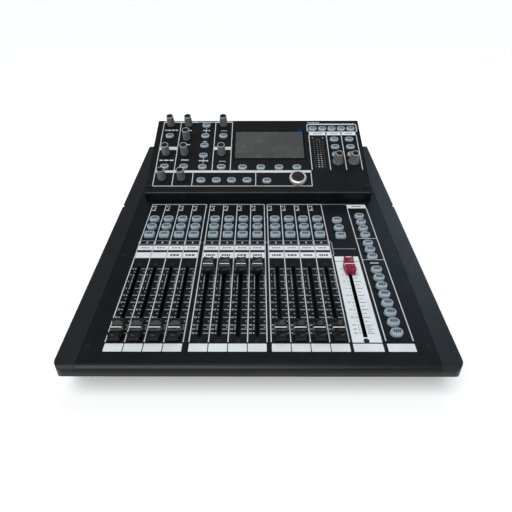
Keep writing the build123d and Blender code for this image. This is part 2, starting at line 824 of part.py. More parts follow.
def make_knob(name, point, base_radius, top_radius):
    """Tapered knob with a bright ring around its top, pressed on a metal shaft."""
    ring_floor = knob_height - ring_height
    with BuildPart() as body:
        with BuildSketch(bridge_plane.offset(knob_gap)):
            circle_shapes([point], base_radius)
        with BuildSketch(bridge_plane.offset(ring_floor)):
            circle_shapes([point], top_radius)
        loft()
        with BuildSketch(bridge_plane.offset(ring_floor)):
            circle_shapes([point], top_radius - ring_width)
        extrude(amount=ring_height - ring_proud)
        with BuildSketch(bridge_plane.offset(knob_gap)):
            circle_shapes([point], shaft_radius)
        extrude(amount=shaft_grip, mode=Mode.SUBTRACT)
    with BuildPart() as ring:
        with BuildSketch(bridge_plane.offset(ring_floor)):
            circle_shapes([point], top_radius)
            with Locations(point):
                Circle(top_radius - ring_width, mode=Mode.SUBTRACT)
        extrude(amount=ring_height)
    with BuildPart() as shaft:
        with BuildSketch(bridge_plane.offset(knob_gap + shaft_grip)):
            circle_shapes([point], shaft_radius)
        extrude(amount=-(shaft_bottom + knob_gap + shaft_grip))
    knob = Compound(label=name, children=[body.part, ring.part, shaft.part])
    export_step(knob, f"parts/{name}.step")


small_base = 6.2
small_top = 5.5
level_base = 8.2
level_top = 5.4
for index, point in enumerate(small_knob_points):
    make_knob(f"knob_{index + 1}", point, small_base, small_top)
make_knob("phones_knob", level_knob_points[0], level_base, level_top)
make_knob("monitor_knob", level_knob_points[1], level_base, level_top)

# Select dial: a low wide knob that also pushes in. It turns on its own shaft.
dial_radius = 12.7
dial_cap_radius = 9.35
dial_height = 8.0
dial_push = 0.5
dial_gap = 1.2
dial_cap_height = 1.0
dial_bore = shaft_radius + shaft_fit
dial_bore_top = 6.5
with BuildPart() as select_dial:
    with BuildSketch(bridge_plane.offset(dial_gap)):
        circle_shapes([dial_point], dial_radius)
    extrude(amount=dial_height - dial_gap - dial_cap_height)
    with BuildSketch(bridge_plane.offset(dial_height - dial_cap_height)):
        circle_shapes([dial_point], dial_cap_radius)
    extrude(amount=dial_cap_height)
    with BuildSketch(bridge_plane.offset(dial_gap)):
        circle_shapes([dial_point], dial_bore)
    extrude(amount=dial_bore_top - dial_gap, mode=Mode.SUBTRACT)
select_dial.part.label = "select_dial"
export_step(select_dial.part, "parts/select_dial.step")

with BuildPart() as dial_shaft:
    with BuildSketch(bridge_plane.offset(-shaft_bottom + dial_push)):
        circle_shapes([dial_point], shaft_radius)
    extrude(amount=shaft_bottom - dial_push + dial_bore_top - 0.1)
dial_shaft.part.label = "dial_shaft"
export_step(dial_shaft.part, "parts/dial_shaft.step")

# Rotary controls: the bodies under the panel that carry every knob's shaft.
with BuildPart() as rotary_controls:
    with BuildSketch(bridge_plane.offset(-control_top)):
        square_shapes(shaft_points, control_size)
    extrude(amount=-(board_depth - control_top))
    with BuildSketch(bridge_plane.offset(-control_top)):
        circle_shapes(shaft_points, shaft_radius + shaft_fit)
    extrude(amount=-(shaft_bottom + 0.2 - control_top), mode=Mode.SUBTRACT)
rotary_controls.part.label = "rotary_controls"
export_step(rotary_controls.part, "parts/rotary_controls.step")

# ---- Circuit boards ----
key_board = (316.0, 66.0)
key_board_u = -57.0
column_board = (30.0, 180.0)
column_board_u = -165.0
bridge_board_size = (312.0, 150.0)
bridge_board_w = 82.0
with BuildPart() as deck_board:
    with BuildSketch(deck_plane.offset(-board_depth)):
        with Locations((0, key_board_u)):
            Rectangle(*key_board)
        with Locations((column_x, column_board_u)):
            Rectangle(*column_board)
    extrude(amount=-board_thickness)
    with BuildSketch(deck_plane.offset(-board_depth)):
        square_shapes(deck_points, switch_size)
    extrude(amount=switch_height)
deck_board.part.label = "deck_board"
export_step(deck_board.part, "parts/deck_board.step")

with BuildPart() as bridge_board:
    with BuildSketch(bridge_plane.offset(-board_depth)):
        with Locations((0, bridge_board_w)):
            Rectangle(*bridge_board_size)
    extrude(amount=-board_thickness)
    with BuildSketch(bridge_plane.offset(-board_depth)):
        square_shapes(bridge_points, switch_size)
    extrude(amount=switch_height)
bridge_board.part.label = "bridge_board"
export_step(bridge_board.part, "parts/bridge_board.step")

chip_points = [(x, 110.0) for x in (-40.0, 10.0, 60.0, 110.0)]
chip_size = 22.0
chip_height = 2.4
with BuildPart() as main_board:
    with BuildSketch(Plane.XY.offset(main_board_z)):
        with Locations((sum(main_board_x) / 2, sum(main_board_y) / 2)):
            Rectangle(main_board_x[1] - main_board_x[0], main_board_y[1] - main_board_y[0])
        with Locations(*standoff_points):
            Circle(standoff_hole + 0.3, mode=Mode.SUBTRACT)
    extrude(amount=board_thickness)
    with BuildSketch(Plane.XY.offset(main_board_z + board_thickness)):
        square_shapes(chip_points, chip_size)
    extrude(amount=chip_height)
main_board.part.label = "main_board"
export_step(main_board.part, "parts/main_board.step")

supply_box = (66.0, 112.0, 32.0)
supply_point = (-132.0, 140.0)
with BuildPart() as power_supply:
    with BuildSketch(Plane.XY.offset(foot_height + sheet)):
        with Locations(supply_point):
            Rectangle(supply_box[0], supply_box[1])
    extrude(amount=supply_box[2])
power_supply.part.label = "power_supply"
export_step(power_supply.part, "parts/power_supply.step")

# ---- Rear connectors ----
xlr_flange = (26.0, 31.0)
xlr_flange_thickness = 1.8
xlr_barrel = 11.8
xlr_depth = 22.0
xlr_mouth = 9.4
xlr_mouth_depth = 14.0
with BuildPart() as xlr_sockets:
    with BuildSketch(rear_plane):
        rounded_shapes(xlr_points, xlr_flange, 2.0)
    extrude(amount=xlr_flange_thickness)
    with BuildSketch(rear_plane):
        circle_shapes(xlr_points, xlr_barrel)
    extrude(amount=-xlr_depth)
    with BuildSketch(rear_plane.offset(xlr_flange_thickness)):
        circle_shapes(xlr_points, xlr_mouth)
    extrude(amount=-xlr_mouth_depth, mode=Mode.SUBTRACT)
xlr_sockets.part.label = "xlr_sockets"
export_step(xlr_sockets.part, "parts/xlr_sockets.step")

jack_ring = 7.5
jack_ring_thickness = 2.5
jack_body = 5.8
jack_bore = 3.3
jack_depth = 24.0
with BuildPart() as jack_sockets:
    with BuildSketch(rear_plane):
        circle_shapes(jack_points, jack_ring)
    extrude(amount=jack_ring_thickness)
    with BuildSketch(rear_plane):
        circle_shapes(jack_points, jack_body)
    extrude(amount=-jack_depth)
    with BuildSketch(rear_plane.offset(jack_ring_thickness)):
        circle_shapes(jack_points, jack_bore)
    extrude(amount=-jack_depth, mode=Mode.SUBTRACT)
jack_sockets.part.label = "jack_sockets"
export_step(jack_sockets.part, "parts/jack_sockets.step")

data_depth = 16.0
data_end_wall = 3.0
socket_fit = 0.4               # a socket's body is this much smaller than its opening
usb_mouth = (8.6, 7.8)
network_mouth = (12.0, 8.0)
with BuildPart() as data_sockets:
    with BuildSketch(rear_plane):
        with Locations(usb_point):
            Rectangle(usb_size[0] - socket_fit, usb_size[1] - socket_fit)
        with Locations(network_point):
            Rectangle(network_size[0] - socket_fit, network_size[1] - socket_fit)
    extrude(amount=-data_depth)
    with BuildSketch(rear_plane):
        with Locations(usb_point):
            Rectangle(*usb_mouth)
        with Locations(network_point):
            Rectangle(*network_mouth)
    extrude(amount=-(data_depth - data_end_wall), mode=Mode.SUBTRACT)
data_sockets.part.label = "data_sockets"
export_step(data_sockets.part, "parts/data_sockets.step")

# Power inlet module: a mains inlet below and a rocker switch above, in one body.
module_flange = (32.0, 64.0)
module_flange_thickness = 2.0
module_depth = 26.0
module_body = (module_cutout[0] - socket_fit, module_cutout[1] - socket_fit)
inlet_point = (142.0, 29.5)
inlet_size = (24.5, 17.0)
inlet_depth = 17.0
rocker_point = (142.0, 61.5)
rocker_hole = (15.0, 23.0)
rocker_depth = 14.0
with BuildPart() as power_inlet:
    with BuildSketch(rear_plane):
        rounded_shapes([module_point], module_flange, 2.0)
    extrude(amount=module_flange_thickness)
    with BuildSketch(rear_plane):
        rounded_shapes([module_point], module_body, 0.5)
    extrude(amount=-module_depth)
    with BuildSketch(rear_plane.offset(module_flange_thickness)):
        rounded_shapes([inlet_point], inlet_size, 2.0)
    extrude(amount=-inlet_depth, mode=Mode.SUBTRACT)
    with BuildSketch(rear_plane.offset(module_flange_thickness)):
        rounded_shapes([rocker_point], rocker_hole, 0.6)
    extrude(amount=-rocker_depth, mode=Mode.SUBTRACT)
power_inlet.part.label = "power_inlet"
export_step(power_inlet.part, "parts/power_inlet.step")

# Rocker: its outer face is a shallow V. It rests tipped to the off side.
rocker_width = 14.2
rocker_tilt = 8.0
rocker_pivot_y = rear_y - 4.0
rocker_half = 9.8
rocker_corner = 6.2
rocker_valley = 4.4
rocker_back = -4.0


def rocker_yz(out, along):
    """World (Y, Z) of a point on the rocker, tipped by its rest angle."""
    tilt = radians(rocker_tilt)
    y = rocker_pivot_y + out * cos(tilt) - along * sin(tilt)
    z = rocker_point[1] + out * sin(tilt) + along * cos(tilt)
    return (y, z)


with BuildPart() as power_rocker:
    with BuildSketch(Plane.YZ.offset(-rocker_point[0])):
        Polygon(
            rocker_yz(rocker_back, -rocker_half + 1.0),
            rocker_yz(rocker_corner, -rocker_half),
            rocker_yz(rocker_valley, 0),
            rocker_yz(rocker_corner, rocker_half),
            rocker_yz(rocker_back, rocker_half - 1.0),
            align=None,
        )
    extrude(amount=rocker_width / 2, both=True)
power_rocker.part.label = "power_rocker"
export_step(power_rocker.part, "parts/power_rocker.step")
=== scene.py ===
import json
import math
import random

import bmesh
import bpy
from mathutils import Matrix, Vector


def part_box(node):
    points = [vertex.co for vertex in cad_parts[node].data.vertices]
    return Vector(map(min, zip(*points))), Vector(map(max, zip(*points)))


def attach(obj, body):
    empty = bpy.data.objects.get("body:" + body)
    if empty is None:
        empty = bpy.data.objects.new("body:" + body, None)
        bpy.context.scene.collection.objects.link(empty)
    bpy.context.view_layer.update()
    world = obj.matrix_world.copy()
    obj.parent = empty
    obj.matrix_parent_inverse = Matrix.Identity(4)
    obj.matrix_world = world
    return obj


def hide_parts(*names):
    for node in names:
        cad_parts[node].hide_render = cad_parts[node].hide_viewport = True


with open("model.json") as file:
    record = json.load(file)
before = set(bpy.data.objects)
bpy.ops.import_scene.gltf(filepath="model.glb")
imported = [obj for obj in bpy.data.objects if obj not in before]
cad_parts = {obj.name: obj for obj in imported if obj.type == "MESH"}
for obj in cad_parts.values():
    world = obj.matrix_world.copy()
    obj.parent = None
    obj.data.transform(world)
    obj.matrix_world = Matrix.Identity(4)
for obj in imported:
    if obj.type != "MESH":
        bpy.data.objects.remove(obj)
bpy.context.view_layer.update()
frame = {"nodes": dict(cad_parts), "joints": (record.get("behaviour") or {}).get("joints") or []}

# Looks of a compact digital mixing console. Lengths in this script are millimetres
# on one of the console's two panels, and MM turns them into the frame's metres.
MM = 0.001
JOINTS = {joint["name"]: joint for joint in frame["joints"]}
RIGHT = Vector((1.0, 0.0, 0.0))


# ---- Panels: places on the deck and on the bridge, read from the frame ----
class Panel:
    """A flat panel with X to the right, an axis running away from the operator and a normal."""

    def __init__(self, origin, along, normal):
        self.origin = origin
        self.along = along
        self.normal = normal

    def at(self, x, u, h=0.0):
        """World point from millimetres: x right of centre, u along, h above the surface."""
        return self.origin + RIGHT * (x * MM) + self.along * (u * MM) + self.normal * (h * MM)

    def local(self, point):
        """Millimetres (x, u, h) of a world point."""
        offset = (point - self.origin) / MM
        return (offset.dot(RIGHT), offset.dot(self.along), offset.dot(self.normal))

    def matrix(self, x, u, h=0.0):
        """Axes of the panel at a place, for text and other flat shapes drawn in millimetres."""
        axes = Matrix((RIGHT * MM, self.along * MM, self.normal * MM)).transposed().to_4x4()
        return Matrix.Translation(self.at(x, u, h)) @ axes


def mesh_points(node):
    return [vertex.co.copy() for vertex in frame["nodes"][node].data.vertices]


def make_deck():
    """Deck panel: u is 0 at the top of the channel strips."""
    along = Vector(JOINTS["fader_1_slide"]["axis"])
    normal = RIGHT.cross(along)
    points = mesh_points("deck_panel")
    front = min(point.dot(along) for point in points)
    surface = max(point.dot(normal) for point in points)
    return Panel(along * (front + DECK_FRONT * MM) + normal * surface, along, normal)


def make_bridge():
    """Bridge panel: u is 0 at its front top edge."""
    normal = Vector(JOINTS["dial_turn"]["axis"])
    along = normal.cross(RIGHT)
    centre = Vector(JOINTS["dial_turn"]["pos_m"])
    return Panel(centre - RIGHT * (DIAL_X * MM) - along * (DIAL_U * MM), along, normal)


DECK_FRONT = 284.0             # from the top of the strips to the deck panel's front edge
DIAL_X = 58.0                  # place of the dial on the bridge
DIAL_U = 26.7
FLANGE_DEPTH = 2.1             # the keys of a node touch each other below this depth
DECK = make_deck()
BRIDGE = make_bridge()


def solids(node, panel=None):
    """Points of each separate solid of a CAD node; with a panel, only down to the keys' flanges."""
    mesh = bmesh.new()
    mesh.from_mesh(frame["nodes"][node].data)
    if panel is not None:
        sunk = [vertex for vertex in mesh.verts if panel.local(vertex.co)[2] < -FLANGE_DEPTH]
        bmesh.ops.delete(mesh, geom=sunk, context="VERTS")
    bmesh.ops.remove_doubles(mesh, verts=mesh.verts, dist=1e-6)
    left = set(mesh.verts)
    found = []
    while left:
        seed = left.pop()
        island = [seed]
        queue = [seed]
        while queue:
            for edge in queue.pop().link_edges:
                for vertex in edge.verts:
                    if vertex in left:
                        left.remove(vertex)
                        island.append(vertex)
                        queue.append(vertex)
        found.append([vertex.co.copy() for vertex in island])
    mesh.free()
    return found


def places(node, panel):
    """(x, u) of each key of a node on a panel, from front left to back right."""
    found = []
    for island in solids(node, panel):
        local = [panel.local(point) for point in island]
        xs = [p[0] for p in local]
        us = [p[1] for p in local]
        found.append(((min(xs) + max(xs)) / 2, (min(us) + max(us)) / 2))
    return sorted(found, key=lambda place: (round(place[1]), place[0]))


# ---- Materials ----
class Nodes:
    """Shorthand for building one procedural material."""

    def __init__(self, name):
        self.material = bpy.data.materials.new(name)
        self.material.use_nodes = True
        self.tree = self.material.node_tree
        self.shader = self.tree.nodes["Principled BSDF"]
        self.coords = self.tree.nodes.new("ShaderNodeTexCoord")

    def new(self, kind, **values):
        node = self.tree.nodes.new(kind)
        for key, value in values.items():
            setattr(node, key, value)
        return node

    def link(self, a, b):
        self.tree.links.new(a, b)

    def noise(self, scale, detail=3.0, roughness=0.5):
        node = self.new("ShaderNodeTexNoise")
        node.inputs["Scale"].default_value = scale
        node.inputs["Detail"].default_value = detail
        node.inputs["Roughness"].default_value = roughness
        self.link(self.coords.outputs["Object"], node.inputs["Vector"])
        return node.outputs["Fac"]

    def ramp(self, value, low, high, start=0.35, end=0.65):
        """Maps a 0 to 1 value onto two grey levels or colours."""
        node = self.new("ShaderNodeValToRGB")
        self.link(value, node.inputs["Fac"])
        stops = node.color_ramp.elements
        stops[0].position = start
        stops[1].position = end
        stops[0].color = (*low, 1.0)
        stops[1].color = (*high, 1.0)
        return node.outputs["Color"]

    def bump(self, height, strength, distance, under=None):
        node = self.new("ShaderNodeBump")
        node.inputs["Strength"].default_value = strength
        node.inputs["Distance"].default_value = distance
        self.link(height, node.inputs["Height"])
        if under is not None:
            self.link(under, node.inputs["Normal"])
        return node.outputs["Normal"]

    def edge_normal(self, radius):
        node = self.new("ShaderNodeBevel", samples=6)
        node.inputs["Radius"].default_value = radius
        return node.outputs["Normal"]

    def mix(self, factor, a, b):
        node = self.new("ShaderNodeMix", data_type="RGBA")
        self.link(factor, node.inputs["Factor"])
        self.link(a, node.inputs[6])
        self.link(b, node.inputs[7])
        return node.outputs[2]

    def wear_and_highlight_mask(self, radius):
        """1 along the edges and 0 on flat faces."""
        bevel = self.edge_normal(radius)
        geometry = self.new("ShaderNodeNewGeometry")
        dot = self.new("ShaderNodeVectorMath", operation="DOT_PRODUCT")
        self.link(bevel, dot.inputs[0])
        self.link(geometry.outputs["Normal"], dot.inputs[1])
        flip = self.new("ShaderNodeMapRange")
        flip.inputs["From Min"].default_value = 0.999
        flip.inputs["From Max"].default_value = 0.93
        self.link(dot.outputs["Value"], flip.inputs["Value"])
        return flip.outputs["Result"]


def shade(colour, gain):
    return tuple(min(1.0, channel * gain) for channel in colour)


def surface(name, colour, roughness, grain, depth, spread=0.12, metallic=0.0, edge=0.0, wear_and_highlight=None,
            specular=0.5, coat=0.0):
    """A moulded or painted surface: colour and gloss vary a little, with fine grain as bump.

    grain is the size of the grain in millimetres and depth its height; edge rounds the sharp
    edges in the shading by that radius, and wear_and_highlight is the paler colour along them:
    partly wear, and partly a painted highlight on the edges."""
    nodes = Nodes(name)
    shader = nodes.shader
    blotch = nodes.noise(38.0, 4.0, 0.6)
    base = nodes.ramp(blotch, shade(colour, 1 - spread), shade(colour, 1 + spread))
    if wear_and_highlight is not None:
        patch = nodes.noise(420.0, 3.0, 0.7)
        wear_and_highlight_colour = nodes.ramp(patch, colour, wear_and_highlight, 0.45, 0.6)
        # Edges are mixed towards a paler colour: partly wear, partly a painted highlight along them.
        base = nodes.mix(nodes.wear_and_highlight_mask(max(edge, 0.3) * MM), base, wear_and_highlight_colour)
    nodes.link(base, shader.inputs["Base Color"])
    gloss = nodes.noise(150.0, 3.0, 0.6)
    low = max(0.04, roughness - 0.05)
    high = min(1.0, roughness + 0.05)
    nodes.link(nodes.ramp(gloss, (low,) * 3, (high,) * 3), shader.inputs["Roughness"])
    rounded = nodes.edge_normal(edge * MM) if edge > 0 else None
    fine = nodes.noise(1000.0 / grain, 2.0, 0.5)
    nodes.link(nodes.bump(fine, 0.6, depth * MM, rounded), shader.inputs["Normal"])
    shader.inputs["Metallic"].default_value = metallic
    shader.inputs["Specular IOR Level"].default_value = specular
    shader.inputs["Coat Weight"].default_value = coat
    return nodes.material


def silicone(name, colour):
    nodes = Nodes(name)
    shader = nodes.shader
    blotch = nodes.noise(260.0, 3.0, 0.5)
    nodes.link(nodes.ramp(blotch, shade(colour, 0.92), shade(colour, 1.06)), shader.inputs["Base Color"])
    gloss = nodes.noise(900.0, 2.0, 0.5)
    nodes.link(nodes.ramp(gloss, (0.36,) * 3, (0.5,) * 3), shader.inputs["Roughness"])
    fine = nodes.noise(2600.0, 2.0, 0.5)
    nodes.link(nodes.bump(fine, 0.35, 0.02 * MM), shader.inputs["Normal"])
    shader.inputs["Subsurface Weight"].default_value = 0.15
    shader.inputs["Subsurface Radius"].default_value = (0.004, 0.005, 0.006)
    shader.inputs["Subsurface Scale"].default_value = 0.3
    shader.inputs["Specular IOR Level"].default_value = 0.4
    return nodes.material


def screen_glass(name, colour, roughness, ripple, specular):
    """Dark glossy sheet; ripple is the height of the waves in a film laid on it."""
    nodes = Nodes(name)
    shader = nodes.shader
    blotch = nodes.noise(30.0, 3.0, 0.5)
    base = nodes.ramp(blotch, shade(colour, 0.9), shade(colour, 1.1))
    if ripple > 0:
        cells = nodes.new("ShaderNodeTexVoronoi", feature="F1", voronoi_dimensions="2D")
        cells.inputs["Scale"].default_value = 46.0
        nodes.link(nodes.coords.outputs["Object"], cells.inputs["Vector"])
        bubble = nodes.ramp(cells.outputs["Distance"], (1, 1, 1), (0, 0, 0), 0.11, 0.16)
        pick = nodes.ramp(nodes.noise(30.0, 1.0), (0, 0, 0), (1, 1, 1), 0.38, 0.5)
        spots = nodes.new("ShaderNodeMix", data_type="RGBA", blend_type="MULTIPLY")
        spots.inputs["Factor"].default_value = 1.0
        nodes.link(bubble, spots.inputs[6])
        nodes.link(pick, spots.inputs[7])
        pale = nodes.ramp(blotch, shade(colour, 1.22), shade(colour, 1.34))
        base = nodes.mix(spots.outputs[2], base, pale)
        wave = nodes.noise(16.0, 2.0, 0.4)
        normal = nodes.bump(wave, 0.35, ripple * MM)
        nodes.link(nodes.bump(spots.outputs[2], 0.15, ripple * MM, normal), shader.inputs["Normal"])
    nodes.link(base, shader.inputs["Base Color"])
    nodes.link(
        nodes.ramp(nodes.noise(90.0), (roughness,) * 3, (roughness * 1.8,) * 3),
        shader.inputs["Roughness"],
    )
    shader.inputs["Specular IOR Level"].default_value = specular
    return nodes.material


MATERIALS = {
    "deck": surface("deck_powder_coat", (0.0078, 0.0096, 0.0112), 0.44, 0.9, 0.05, edge=0.3,
                    specular=0.13),
    "bridge": surface("bridge_powder_coat", (0.0078, 0.0088, 0.0098), 0.42, 0.9, 0.05, edge=0.7,
                      wear_and_highlight=(0.09, 0.09, 0.094), specular=0.11),
    "case": surface("case_powder_coat", (0.016, 0.017, 0.019), 0.5, 1.0, 0.08, edge=0.5,
                    wear_and_highlight=(0.05, 0.05, 0.05), specular=0.3),
    "nose": surface("nose_paint", (0.0085, 0.009, 0.0105), 0.36, 0.7, 0.03, edge=0.3,
                    wear_and_highlight=(0.05, 0.05, 0.052), specular=0.26),
    "cheek": surface("cheek_plastic", (0.0125, 0.015, 0.0175), 0.46, 0.6, 0.06, edge=1.4,
                     wear_and_highlight=(0.035, 0.037, 0.04), specular=0.28),
    "cap": surface("cap_black_plastic", (0.006, 0.0065, 0.0072), 0.27, 0.35, 0.03, specular=0.2),
    "cap_red": surface("cap_red_plastic", (0.22, 0.007, 0.032), 0.28, 0.35, 0.03, specular=0.3),
    "cap_line": surface("cap_line_white", (0.74, 0.75, 0.76), 0.4, 0.4, 0.01, spread=0.04),
    "print": surface("print_white", (0.62, 0.66, 0.68), 0.42, 0.5, 0.01, spread=0.04),
    "grey_print": surface("print_grey", (0.33, 0.35, 0.36), 0.45, 0.5, 0.01, spread=0.08),
    "dark_print": surface("print_dark", (0.035, 0.037, 0.042), 0.5, 0.5, 0.01),
    "label": surface("label_strip", (0.76, 0.80, 0.82), 0.34, 2.2, 0.05, spread=0.05, coat=0.1),
    "key": silicone("key_silicone", (0.37, 0.44, 0.485)),
    # The same silicone made darker: painted shade on the key faces, so the rims read as highlit.
    "shaded_key_face": silicone("key_face_painted_shade", (0.25, 0.32, 0.375)),
    # Pale grey for the painted highlight along the bridge's front bend.
    "painted_bend_highlight": surface("bridge_bend_highlight_paint", (0.10, 0.105, 0.11), 0.4, 1.2, 0.02, spread=0.25),
    "legend": surface("key_legend", (0.03, 0.045, 0.06), 0.5, 0.5, 0.01),
    "knob": surface("knob_plastic", (0.17, 0.175, 0.18), 0.42, 0.3, 0.06, spread=0.2),
    "knob_top": surface("knob_top_black", (0.010, 0.009, 0.009), 0.32, 0.4, 0.02, specular=0.3),
    "ring": surface("bright_ring", (0.72, 0.71, 0.70), 0.3, 0.3, 0.01, spread=0.1, metallic=0.35),
    "dial": surface("dial_satin_silver", (0.66, 0.65, 0.63), 0.32, 0.3, 0.02, spread=0.06,
                    metallic=0.5),
    "steel": surface("plated_steel", (0.46, 0.46, 0.47), 0.34, 0.5, 0.03, metallic=1.0, edge=0.2),
    "track": surface("track_black_zinc", (0.006, 0.006, 0.006), 0.6, 0.5, 0.03, edge=0.2,
                     specular=0.1),
    "screw": surface("screw_black_oxide", (0.010, 0.010, 0.010), 0.4, 0.4, 0.03, edge=0.35,
                     wear_and_highlight=(0.09, 0.085, 0.08), specular=0.3),
    "window": screen_glass("window_black", (0.007, 0.0078, 0.0078), 0.10, 0.0, 0.15),
    "film": screen_glass("screen_under_film", (0.066, 0.069, 0.067), 0.16, 0.05, 0.5),
    "tab": surface("film_tab_blue", (0.004, 0.06, 0.28), 0.3, 1.5, 0.03, spread=0.1),
    "meter": screen_glass("meter_lens", (0.008, 0.008, 0.009), 0.16, 0.0, 0.3),
    "lamp": surface("meter_lamp", (0.34, 0.36, 0.34), 0.3, 0.5, 0.01, spread=0.3),
    "lamp_dim": surface("meter_lamp_dim", (0.09, 0.10, 0.11), 0.35, 0.5, 0.01, spread=0.3),
    "board": surface("board_solder_mask", (0.008, 0.09, 0.035), 0.35, 0.8, 0.05),
    "socket": surface("socket_plastic", (0.018, 0.018, 0.019), 0.42, 0.5, 0.04, edge=0.3),
    "contact": surface("contact_metal", (0.75, 0.72, 0.62), 0.25, 0.5, 0.02, metallic=1.0),
    "rubber": surface("foot_rubber", (0.015, 0.015, 0.015), 0.75, 0.8, 0.1, edge=0.4),
    "rocker": surface("rocker_plastic", (0.012, 0.012, 0.012), 0.2, 0.8, 0.01, edge=0.3),
    "supply": surface("supply_sheet", (0.5, 0.51, 0.53), 0.4, 0.8, 0.04, metallic=0.9, edge=0.3),
    "control": surface("control_plastic", (0.05, 0.05, 0.052), 0.45, 0.6, 0.04),
}

CAD_LOOKS = {
    "deck": ["deck_panel"],
    "bridge": ["bridge_cover"],
    "case": ["base_pan", "rear_panel"],
    "nose": ["front_nose"],
    "cheek": ["left_cheek", "right_cheek"],
    "rubber": ["feet"],
    "screw": ["case_screws", "fader_screws"],
    "window": ["display_window"],
    "film": ["screen_film"],
    "supply": ["display_module", "power_supply"],
    "meter": ["level_meter"],
    "track": ["fader_tracks"],
    "steel": ["dial_shaft"],
    "control": ["rotary_controls"],
    "board": ["deck_board", "bridge_board", "main_board"],
    "socket": ["xlr_sockets", "jack_sockets", "data_sockets", "power_inlet"],
    "rocker": ["power_rocker"],
}


def dress_cad():
    for look, nodes in CAD_LOOKS.items():
        for node in nodes:
            data = frame["nodes"][node].data
            data.materials.clear()
            data.materials.append(MATERIALS[look])


# ---- Mesh helpers ----
def placed(name, data):
    """A new object of the scene, made from its mesh, light or camera."""
    made = bpy.data.objects.new(name, data)
    bpy.context.scene.collection.objects.link(made)
    return made


def finish_mesh(name, mesh, looks, body, smooth_angle=40.0):
    """Turns a bmesh into a piece with its materials, riding on a body."""
    bmesh.ops.recalc_face_normals(mesh, faces=mesh.faces)
    data = bpy.data.meshes.new(name)
    mesh.to_mesh(data)
    mesh.free()
    for look in looks:
        data.materials.append(MATERIALS[look])
    piece = placed(name, data)
    data.shade_smooth()
    data.set_sharp_from_angle(angle=math.radians(smooth_angle))
    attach(piece, body)
    return piece


def stack(mesh, rings, looks=None, closed=True):
    """Skins rings of points; looks gives a material for each band. A closed stack has both ends."""
    loops = [[mesh.verts.new(point) for point in ring] for ring in rings]
    count = len(rings[0])
    for level in range(len(loops) - 1):
        for i in range(count):
            j = (i + 1) % count
            quad = (loops[level][i], loops[level][j], loops[level + 1][j], loops[level + 1][i])
            face = mesh.faces.new(quad)
            face.material_index = looks[level] if looks else 0
    if closed:
        mesh.faces.new(list(reversed(loops[0]))).material_index = looks[0] if looks else 0
        mesh.faces.new(loops[-1]).material_index = looks[-1] if looks else 0
    return loops


def prism(mesh, panel, outline, low, high, look=0):
    """A flat plate on a panel, from an outline in millimetres."""
    rings = [[panel.at(x, u, h) for x, u in outline] for h in (low, high)]
    stack(mesh, rings, [look])


def rounded_outline(width, length, radius, steps=4):
    """Rounded rectangle about the origin, anticlockwise, in millimetres."""
    radius = min(radius, width / 2 - 1e-3, length / 2 - 1e-3)
    points = []
    for quarter in range(4):
        cx = (width / 2 - radius) * (1 if quarter in (0, 3) else -1)
        cy = (length / 2 - radius) * (1 if quarter in (0, 1) else -1)
        for step in range(steps + 1):
            angle = math.radians(90 * quarter + 90 * step / steps)
            points.append((cx + radius * math.cos(angle), cy + radius * math.sin(angle)))
    return points


def shifted(outline, x, u):
    return [(px + x, pu + u) for px, pu in outline]


PRINT_LOW = -0.05              # ink starts below the paint's surface and stands above it
PRINT_HIGH = 0.05


class Print:
    """Ink on one panel, gathered in a few meshes of one colour each."""

    def __init__(self, panel, high=PRINT_HIGH):
        self.panel = panel
        self.mesh = bmesh.new()
        self.high = high

    def rect(self, x0, x1, u0, u1):
        outline = [(x0, u0), (x1, u0), (x1, u1), (x0, u1)]
        prism(self.mesh, self.panel, outline, PRINT_LOW, self.high)

    def plate(self, x, u, width, length, radius):
        outline = shifted(rounded_outline(width, length, radius), x, u)
        prism(self.mesh, self.panel, outline, PRINT_LOW, self.high)

    def line(self, points, width, closed=False):
        """A line of constant width through points, with mitred corners."""
        count = len(points)
        inner = []
        outer = []
        for i, point in enumerate(points):
            before = points[i - 1] if (i > 0 or closed) else None
            after = points[(i + 1) % count] if (i < count - 1 or closed) else None
            directions = []
            if before is not None:
                directions.append((Vector(point) - Vector(before)).normalized())
            if after is not None:
                directions.append((Vector(after) - Vector(point)).normalized())
            mean = sum(directions, Vector((0.0, 0.0))).normalized()
            side = Vector((-mean.y, mean.x))
            reach = width / 2 / max(0.4, mean.dot(directions[0]))
            inner.append(Vector(point) + side * reach)
            outer.append(Vector(point) - side * reach)
        spans = count if closed else count - 1
        for i in range(spans):
            j = (i + 1) % count
            outline = [tuple(inner[i]), tuple(outer[i]), tuple(outer[j]), tuple(inner[j])]
            prism(self.mesh, self.panel, outline, PRINT_LOW, self.high)

    def disc(self, x, u, radius, steps=16):
        angles = [2 * math.pi * i / steps for i in range(steps)]
        ring = [(x + radius * math.cos(a), u + radius * math.sin(a)) for a in angles]
        prism(self.mesh, self.panel, ring, PRINT_LOW, self.high)

    def number(self, text, x, u, size):
        """Digits centred on a place."""
        curve = bpy.data.curves.new("digits", "FONT")
        curve.body = text
        curve.size = size
        curve.align_x = "CENTER"
        curve.align_y = "CENTER"
        curve.extrude = self.high
        curve.resolution_u = 2
        holder = placed("digits", curve)
        bpy.context.view_layer.update()
        graph = bpy.context.evaluated_depsgraph_get()
        shape = bpy.data.meshes.new_from_object(holder.evaluated_get(graph))
        shape.transform(self.panel.matrix(x, u))
        self.mesh.from_mesh(shape)
        bpy.data.objects.remove(holder)
        bpy.data.meshes.remove(shape)
        bpy.data.curves.remove(curve)

    def done(self, name, look, slot):
        bmesh.ops.remove_doubles(self.mesh, verts=self.mesh.verts, dist=1e-7)
        finish_mesh(name, self.mesh, [look], "console", 20.0)


def ink_set(panel):
    """White, label, grey and dark ink; the dark one stands on the labels."""
    return Print(panel), Print(panel), Print(panel), Print(panel, 2.2 * PRINT_HIGH)


